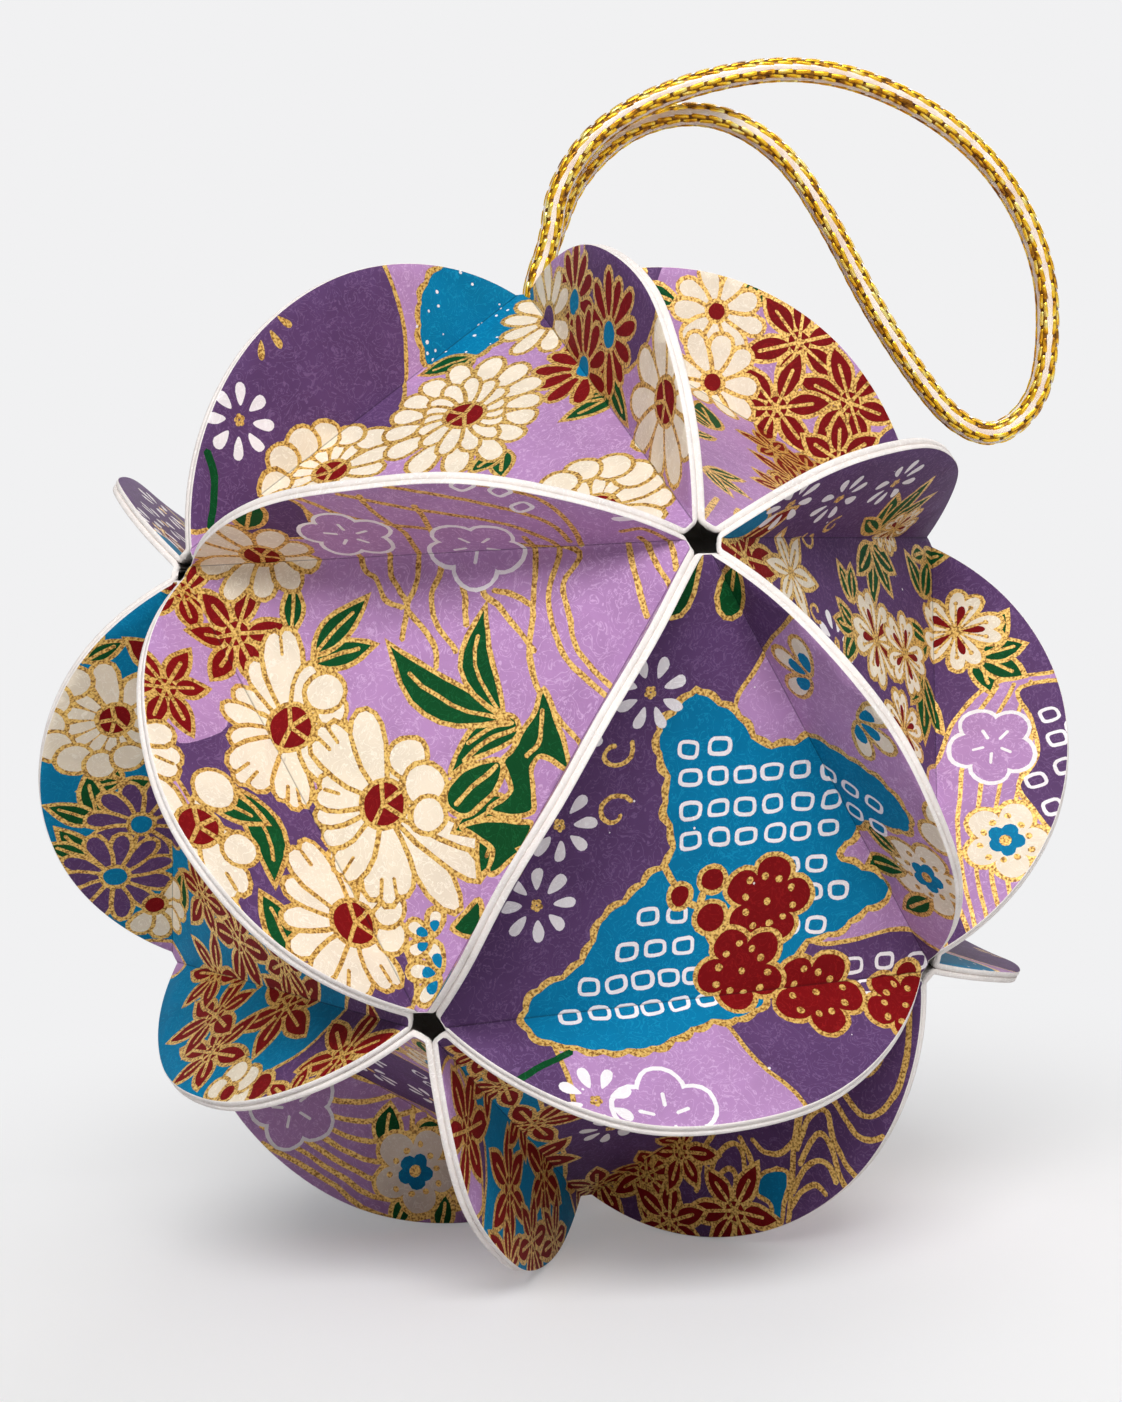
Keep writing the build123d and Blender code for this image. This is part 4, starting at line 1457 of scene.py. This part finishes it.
def river_swirls():
    """Wide gold swirls on purple, and a blue river of maples over the next flap."""
    sheet = Layout("purple", 8)
    patch(sheet, "turquoise", [
        (-27, 6), (-22, 3.4), (-14, 5), (-5, 9), (6, 12.4), (13, 15.4), (10, 20), (3, 18.6), (-3, 20),
        (-8, 26), (-18, 22),
    ])
    patch(sheet, "lilac", [(3.6, 19.4), (9, 20.4), (9, 25), (0, 28), (-5, 24), (-1, 20.6)])
    for at, reach, turn in (
        ((-8.6, 17.4), 6, 15), ((2.2, 21.8), 6.2, 0), ((-15.4, 8.6), 6.2, 25), ((-12.6, 23), 4.8, 10),
        ((-16.6, 15.8), 5, 0), ((-6.4, 9.8), 5, 35), ((-21.6, 10.6), 4.4, 5), ((2.4, 14.2), 4.8, 20),
        ((9.6, 17.4), 4.4, 5),
    ):
        maple(sheet, at, reach, turn)
    for line in (
        [
            (-0.8, -19.8), (-1.4, -21.2), (-1.6, -22.6), (-0.6, -23.8), (1.8, -24.4), (4.8, -24.2),
            (9.6, -22.4),
        ],
        [(-2, -18.4), (-2.2, -19.8), (-3, -21.2), (-3.6, -22.8), (-3.2, -24.2), (-2.2, -25.2)],
        [
            (-8.4, -18.2), (-5.4, -18), (-3.7, -18.6), (-3.7, -19.6), (-5.6, -21.2), (-6.8, -23),
            (-7.4, -25),
        ],
        [(-9.4, -19), (-6.8, -19.1), (-5.6, -19.6), (-5.8, -20.6), (-7.6, -22.4), (-8.8, -24.2)],
        [(-12.2, -19.6), (-9.8, -19.5), (-8.2, -20.4), (-8, -21.8), (-8.8, -23)],
        [(-13.6, -20), (-11.4, -20.4), (-10.2, -21.2), (-10.4, -22.6)],
        [(-3.4, -16.2), (-5.4, -17), (-7.8, -17.7), (-9.8, -18.4), (-12.4, -19.5), (-15, -20.4)],
        [(-10, -13.8), (-10.4, -15.4), (-9.6, -16.8), (-7.8, -17.6), (-5.2, -17.2)],
        [(-16.4, -12), (-14.2, -11.2), (-12.2, -11.8), (-11.5, -12.9), (-12.8, -14.2), (-15.4, -15.4)],
        [(-16.4, -13.1), (-15.2, -12.4), (-14, -12.8), (-14.2, -13.8), (-15.8, -14.6)],
        [(-18, -11), (-16, -10.3), (-13.6, -9.8), (-10.8, -10.6), (-8.4, -13.2), (-5.8, -14.6)],
        [(-10.6, -12.6), (-11.8, -14.4), (-12.8, -16), (-11, -17.4)],
        [(-11, -8.6), (-7.6, -10.2), (-5.4, -12.6), (-2.4, -13.6), (1.4, -14.8)],
        [(-2.6, -15.6), (0.8, -16.8), (1.8, -18.8), (1.6, -21), (4, -22), (8, -20.6)],
        [(2.6, -13), (4.8, -15.2), (5, -17.6), (8.4, -18.8), (12, -18.4)],
    ):
        stroke(sheet, "gold", line, 0.56)
    patch(sheet, "turquoise", [
        (-11.2, -17.3), (-10.8, -18.3), (-12, -19), (-13.8, -19.3), (-15.6, -19.8), (-16.2, -19),
        (-14.4, -18.2), (-14.4, -16.6), (-12.8, -16.1),
    ])
    for at, reach, turn in (
        ((-23.4, -0.6), 4.6, 10), ((-19.8, -5.4), 4.4, 30), ((-17.4, -15.2), 5, 0),
        ((-22.4, -9.6), 4.8, 20), ((-15.6, -7.8), 4, 5),
    ):
        maple(sheet, at, reach, turn)
    for at, turn in (((-9.6, 1.4), 0), ((-3.4, 3.6), 15), ((0.6, -3.4), 5), ((6, 5), 20)):
        daisy(sheet, at, 3, turn)
    patch(sheet, "lilac", [
        (8.6, 10), (13, 11), (20, 12.6), (27, 10), (27, -4), (20, -5.4), (13, -3), (8, -2),
    ])
    cloud(sheet, "turquoise", [
        (7.4, 0), (9.4, 3), (10.6, 8), (13, 10.4), (15.6, 8), (16.6, 2), (15, -2), (12.6, -5.4), (10, -4),
    ])
    kanoko(sheet, [(12.6, 7.6), (12.8, 5), (12.8, 2.4), (12.8, -0.2), (12.6, -2.8)], "turquoise")
    plum_line(sheet, (21.4, 3), 4.4, "lilac", 60)
    plum(sheet, (13.4, -11.4), 4.2, "red", 80)
    plum(sheet, (18.4, -14.4), 3.6, "red", 40)
    bud(sheet, (9.4, -8.4), 1.3)
    bud(sheet, (17, -9.4), 1.3)
    stroke(sheet, "gold", [(9.4, -8.4), (11.4, -9), (13.4, -11.4), (16, -11), (17, -9.4)], 0.5)
    daisy(sheet, (20.6, 15.4), 3, 10)
    stroke(sheet, "green", [(14.6, 20.4), (16.4, 17), (16.6, 13.4)], 0.7)
    specks(sheet, "white", 14, (-10, -12), (24, 14), 0.1)
    return sheet


printed_layouts = [
    chrysanthemum_garden(),
    clouds_and_plums(),
    red_daisies(),
    autumn_corner(),
    blossoms_on_purple(),
    maples_on_blue(),
    streams_on_lilac(),
    river_swirls(),
]


# Making a disc: the print is cut into fields along its outlines, the creases and the punched rim.
# The fields' triangles become the face of the sheet, and its cut edge and a bare back close it.
# The print's sizes are in millimetres, and are turned into metres where the sheet goes into the ball.
metres = 0.001
edge_rounding = 0.05
print_radius = disc_radius / metres - edge_rounding
rim_steps = 192

# The plain points between the printed outlines, and the lines that keep the bends smooth
front_grid = 2.1
back_grid = 4.0
grid_to_rim = 0.6
chord_overhang = 0.4
bend_margin = 0.0003

# The unevenness of the stencil: its waves to a millimetre and how far they move an outline.
# The seed is set because the noise starts from the clock without one.
broad_waves = 0.35
broad_wobble = 0.22
fine_waves = 1.5
fine_wobble = 0.07
noise.seed_set(7)

# The cut edge: how far its seam with the next flap lies in from the rim, and where it turns, as
# shares of the thickness
seam_depth = 0.14
front_edge_share = 0.1
seam_edge_share = 0.74


def wobble(point, waves, layer):
    """A smooth random shift of a point, with so many waves to a millimetre, from one layer of noise."""
    shift = noise.noise_vector(Vector((point.real * waves, point.imag * waves, layer)))
    return complex(shift.x, shift.y)


def hand_drawn(outline):
    """An outline with the slight unevenness of a hand-cut stencil."""
    moved = []
    for point in outline:
        broad = wobble(point, broad_waves, 3.1) * broad_wobble
        fine = wobble(point, fine_waves, 8.7) * fine_wobble
        moved.append(point + broad + fine)
    return np.array(moved)


def turns_round(outline, points):
    """How many times an outline goes round each point."""
    start = outline[:, None]
    end = np.roll(outline, -1)[:, None]
    left = (end - start).real * (points.imag - start.imag) - (points.real - start.real) * (end - start).imag
    up = (start.imag <= points.imag) & (end.imag > points.imag) & (left > 0)
    down = (start.imag > points.imag) & (end.imag <= points.imag) & (left < 0)
    return up.sum(axis=0) - down.sum(axis=0)


def crease_chords():
    """Straight lines across the disc where the sheet begins to bend, bends and ends bending."""
    chords = []
    bends = np.linspace(bend_start, bend_end, 5)
    offsets = [bend_start - bend_margin, *bends, bend_end + bend_margin]
    for flap in range(3):
        turn = np.exp(1j * 2 * pi / 3 * flap)
        for offset in np.array(offsets) / metres:
            half = sqrt((print_radius + chord_overhang) ** 2 - offset**2)
            chords.append((turn * complex(offset, -half), turn * complex(offset, half)))
    return chords


def triangulated(outlines, lines, grid):
    """Triangles that follow every outline and line, with grid points between them inside the rim."""
    points = []
    edges = []
    for outline in outlines:
        first = len(points)
        points += [Vector((p.real, p.imag)) for p in outline]
        edges += [(first + i, first + (i + 1) % len(outline)) for i in range(len(outline))]
    for start, end in lines:
        edges.append((len(points), len(points) + 1))
        points += [Vector((start.real, start.imag)), Vector((end.real, end.imag))]
    half = int(print_radius / grid)
    for i in range(-half, half + 1):
        for j in range(-half, half + 1):
            if hypot(i, j) * grid < print_radius - grid_to_rim:
                points.append(Vector((i * grid, (j + 0.5 * (i % 2)) * grid)))
    flat, _, triangles, *_ = delaunay_2d_cdt(points, edges, [], 0, 1e-4, False)
    flat = np.array([complex(p.x, p.y) for p in flat])
    triangles = np.array(triangles)
    return flat, triangles, flat[triangles].mean(axis=1)


def without_spares(flat, triangles):
    """The points that the triangles use, and the triangles by their new numbers."""
    used = np.unique(triangles)
    place = np.full(len(flat), -1)
    place[used] = np.arange(len(used))
    return flat[used], place[triangles]


def cut_into_inks(sheet):
    """The face of a sheet: its flat points, its triangles and the ink of each."""
    rim = print_radius * np.exp(2j * pi * np.arange(rim_steps) / rim_steps)
    fields = [(ink, hand_drawn(outline)) for ink, outline in sheet.fields]
    reaching = [(ink, outline) for ink, outline in fields if abs(outline).min() < print_radius]
    outlines = [rim] + [outline for _, outline in reaching]
    flat, triangles, middles = triangulated(outlines, crease_chords(), front_grid)
    kept = turns_round(rim, middles) > 0
    triangles, middles = triangles[kept], middles[kept]
    ink_of = np.full(len(triangles), ink_order.index(sheet.ground))
    for ink, outline in reaching:
        near = np.flatnonzero(
            (middles.real > outline.real.min()) & (middles.real < outline.real.max())
            & (middles.imag > outline.imag.min()) & (middles.imag < outline.imag.max())
        )
        inside = turns_round(outline, middles[near]) > 0
        ink_of[near[inside]] = ink_order.index(ink)
    flat, triangles = without_spares(flat, triangles)
    return flat, triangles, ink_of


def rim_order(triangles, flat):
    """The face's edge points, in order round the rim."""
    sides = np.concatenate([triangles[:, [0, 1]], triangles[:, [1, 2]], triangles[:, [2, 0]]])
    keys, counts = np.unique(np.sort(sides, axis=1), axis=0, return_counts=True)
    on_rim = np.unique(keys[counts == 1])
    return on_rim[np.argsort(np.angle(flat[on_rim]))]


def printed_face(sheet):
    """Everything about a printed sheet that doesn't depend on where it goes in the ball."""
    flat, triangles, ink_of = cut_into_inks(sheet)
    rim = rim_order(triangles, flat)
    back_flat, back_triangles, middles = triangulated([flat[rim]], crease_chords(), back_grid)
    kept = turns_round(flat[rim], middles) > 0
    back_flat, back_triangles = without_spares(back_flat, back_triangles[kept])
    back_rim = rim_order(back_triangles, back_flat)
    back_flat[back_rim] *= 1 - seam_depth / print_radius
    return flat, triangles, ink_of, rim, back_flat, back_triangles, back_rim


def crease_shade_share(flat):
    """How near each point of the face is to the middle of a bend, from 0 to 1: the share of painted shade
    along the crease there.
    """
    mark = np.zeros(len(flat))
    middle = (bend_start + bend_end) / 2 / metres
    for flap in range(3):
        off = abs((flat / np.exp(1j * 2 * pi / 3 * flap)).real - middle)
        mark = np.maximum(mark, np.clip(1 - off / (bend_length / metres / 2), 0, 1))
    return mark


def make_disc(name, face, turn):
    """A disc creased and placed in the ball: its printed face, its bare back and the cut edge between."""
    flat, triangles, ink_of, rim, back_flat, back_triangles, back_rim = face
    row, number = name.rsplit("_", 1)
    axes = face_axes(row, int(number))
    spin = np.exp(1j * 2 * pi / 3 * turn) * metres
    front = in_ball(flat * spin, True, axes)
    back = in_ball(back_flat * spin, False, axes)
    out = flat[rim] * (1 + edge_rounding / print_radius) * spin
    wall_front, wall_back = in_ball(out, True, axes), in_ball(out, False, axes)
    upper = wall_front + (wall_back - wall_front) * front_edge_share
    lower = wall_front + (wall_back - wall_front) * seam_edge_share
    vertices = np.concatenate([front, back, upper, lower])
    count = len(rim)
    first_back, first_upper = len(front), len(front) + len(back)
    first_lower = first_upper + count
    faces = triangles.tolist() + (back_triangles[:, ::-1] + first_back).tolist()
    for i in range(count):
        j = (i + 1) % count
        faces.append((rim[i], first_upper + i, first_upper + j, rim[j]))
        faces.append((first_upper + i, first_lower + i, first_lower + j, first_upper + j))
        faces.append((first_lower + i, first_back + back_rim[i], first_back + back_rim[j], first_lower + j))
    card = ink_order.index("card")
    slots = ink_of.tolist() + [card] * (len(back_triangles) + 3 * count)
    disc = new_piece(f"printed_{name}", vertices, faces, inks, slots)
    # The inks read this share as painted shade along the creases
    mark = disc.data.attributes.new("crease", "FLOAT", "POINT")
    mark.data.foreach_set("value", np.r_[crease_shade_share(flat), np.zeros(len(vertices) - len(flat))])
    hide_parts(name)


# Which layout each disc was punched from, by its place in the list, and how many flaps it is turned by
disc_prints = {
    "top_disc": [(4, 1), (0, 2), (4, 0), (2, 0), (3, 0)],
    "upper_disc": [(1, 0), (5, 1), (6, 2), (0, 0), (4, 0)],
    "lower_disc": [(2, 1), (7, 2), (3, 1), (5, 0), (1, 0)],
    "bottom_disc": [(0, 1), (2, 2), (1, 1), (6, 0), (7, 0)],
}
printed_faces = [printed_face(sheet) for sheet in printed_layouts]
for row, prints in disc_prints.items():
    for number, (layout, turn) in enumerate(prints, start=1):
        make_disc(f"{row}_{number}", printed_faces[layout], turn)


# The stage: a table and wall in one bend of matt white paper, and soft lamps above, beside and behind.
# The paper takes the ball's shadow near by. Farther off it glows with the background's own pale colour,
# so that it looks the same in every view. None of it belongs to the object.
floor_size = 3.0
floor_bend = 0.6
bend_steps = 12
floor_paleness = 0.96
background_colour = (241, 241, 242)
shadow_centre = (0.0, -0.03, 0.0)
full_shadow_reach = 0.03
no_shadow_reach = 0.15
least_glow = 0.24
lamp_aim = Vector((0, 0, 0.05))


def shaders_mixed(nodes, links, share, first, second):
    """A blend of two shaders, the first where the share is 0 and the second where it is 1."""
    node = nodes.new("ShaderNodeMixShader")
    links.new(share, node.inputs["Fac"])
    links.new(first, node.inputs[1])
    links.new(second, node.inputs[2])
    return node.outputs["Shader"]


def sweep_material():
    """Matt white paper. Seen straight, it is white near the ball and glows softly farther off.
    The light that it throws back on the ball is that of a greyer paper."""
    material, nodes, links = new_material("pale_sweep")
    thrown_back = nodes["Principled BSDF"]
    tint = ramp(nodes, [(0.3, linear(206, 206, 207)), (0.7, linear(212, 212, 213))])
    links.new(object_noise(nodes, links, 3.0), tint.inputs["Fac"])
    links.new(tint.outputs["Color"], thrown_back.inputs["Base Color"])
    thrown_back.inputs["Roughness"].default_value = 0.9
    near_by = nodes.new("ShaderNodeBsdfDiffuse")
    near_by.inputs["Color"].default_value = (floor_paleness, floor_paleness, floor_paleness, 1.0)
    glow = nodes.new("ShaderNodeEmission")
    glow.inputs["Color"].default_value = linear(*background_colour)
    place = nodes.new("ShaderNodeTexCoord")
    reach = nodes.new("ShaderNodeVectorMath")
    reach.operation = "DISTANCE"
    reach.inputs[1].default_value = shadow_centre
    links.new(place.outputs["Object"], reach.inputs[0])
    share = nodes.new("ShaderNodeMapRange")
    share.interpolation_type = "SMOOTHSTEP"
    share.inputs["From Min"].default_value = full_shadow_reach
    share.inputs["From Max"].default_value = no_shadow_reach
    share.inputs["To Min"].default_value = least_glow
    links.new(reach.outputs["Value"], share.inputs["Value"])
    near, far = near_by.outputs["BSDF"], glow.outputs["Emission"]
    seen = shaders_mixed(nodes, links, share.outputs["Result"], near, far)
    ray = nodes.new("ShaderNodeLightPath").outputs
    straight = maths(nodes, links, "MAXIMUM", ray["Is Camera Ray"], ray["Is Glossy Ray"])
    in_sight = maths(nodes, links, "MAXIMUM", straight, ray["Is Transmission Ray"])
    whole = shaders_mixed(nodes, links, in_sight, thrown_back.outputs["BSDF"], seen)
    links.new(whole, nodes["Material Output"].inputs["Surface"])
    return material


def make_sweep():
    """A floor that curves up into a wall."""
    profile = [(-floor_size, 0.0), (floor_bend, 0.0)]
    for step in range(1, bend_steps + 1):
        angle = pi / 2 * step / bend_steps
        profile.append((floor_bend + floor_bend * sin(angle), floor_bend * (1 - cos(angle))))
    profile.append((2 * floor_bend, floor_size))
    vertices = [(x, y, z) for y, z in profile for x in (-floor_size, floor_size)]
    faces = [(2 * i, 2 * i + 1, 2 * i + 3, 2 * i + 2) for i in range(len(profile) - 1)]
    mesh = bpy.data.meshes.new("sweep")
    mesh.from_pydata(vertices, [], faces)
    mesh.materials.append(sweep_material())
    mesh.polygons.foreach_set("use_smooth", [True] * len(faces))
    sweep = placed("sweep", mesh)


def add_lamp(name, place, size, power):
    """A soft lamp of a width and height, aimed at the middle of the ball."""
    light = bpy.data.lights.new(name, "AREA")
    light.shape = "RECTANGLE"
    light.size, light.size_y = size
    light.energy = power
    lamp = placed(name, light)
    lamp.location = place
    lamp.rotation_mode = "QUATERNION"
    lamp.rotation_quaternion = (lamp_aim - Vector(place)).to_track_quat("-Z", "Y")


def light_world():
    """Even light from all round, in front of the same pale colour as the sweep."""
    world = bpy.data.worlds.new("room")
    bpy.context.scene.world = world
    world.use_nodes = True
    nodes, links = world.node_tree.nodes, world.node_tree.links
    lighting = nodes["Background"]
    lighting.inputs["Color"].default_value = (1.0, 1.0, 1.0, 1.0)
    lighting.inputs["Strength"].default_value = 0.2
    seen = nodes.new("ShaderNodeBackground")
    seen.inputs["Color"].default_value = linear(*background_colour)
    ray = nodes.new("ShaderNodeLightPath").outputs
    in_sight = maths(nodes, links, "MAXIMUM", ray["Is Camera Ray"], ray["Is Transmission Ray"])
    whole = shaders_mixed(nodes, links, in_sight, lighting.outputs["Background"], seen.outputs["Background"])
    links.new(whole, nodes["World Output"].inputs["Surface"])


make_sweep()
# Each lamp's place and size are in metres, and its power is in watts
add_lamp("key", place=(-0.06, -0.75, 0.71), size=(0.7, 0.3), power=8.7)
add_lamp("fill", place=(0.6, -0.6, 0.55), size=(0.5, 0.5), power=1.2)
add_lamp("rear", place=(0.3, 0.7, 0.6), size=(0.7, 0.7), power=2.6)
light_world()
bpy.context.scene.view_settings.view_transform = "Standard"
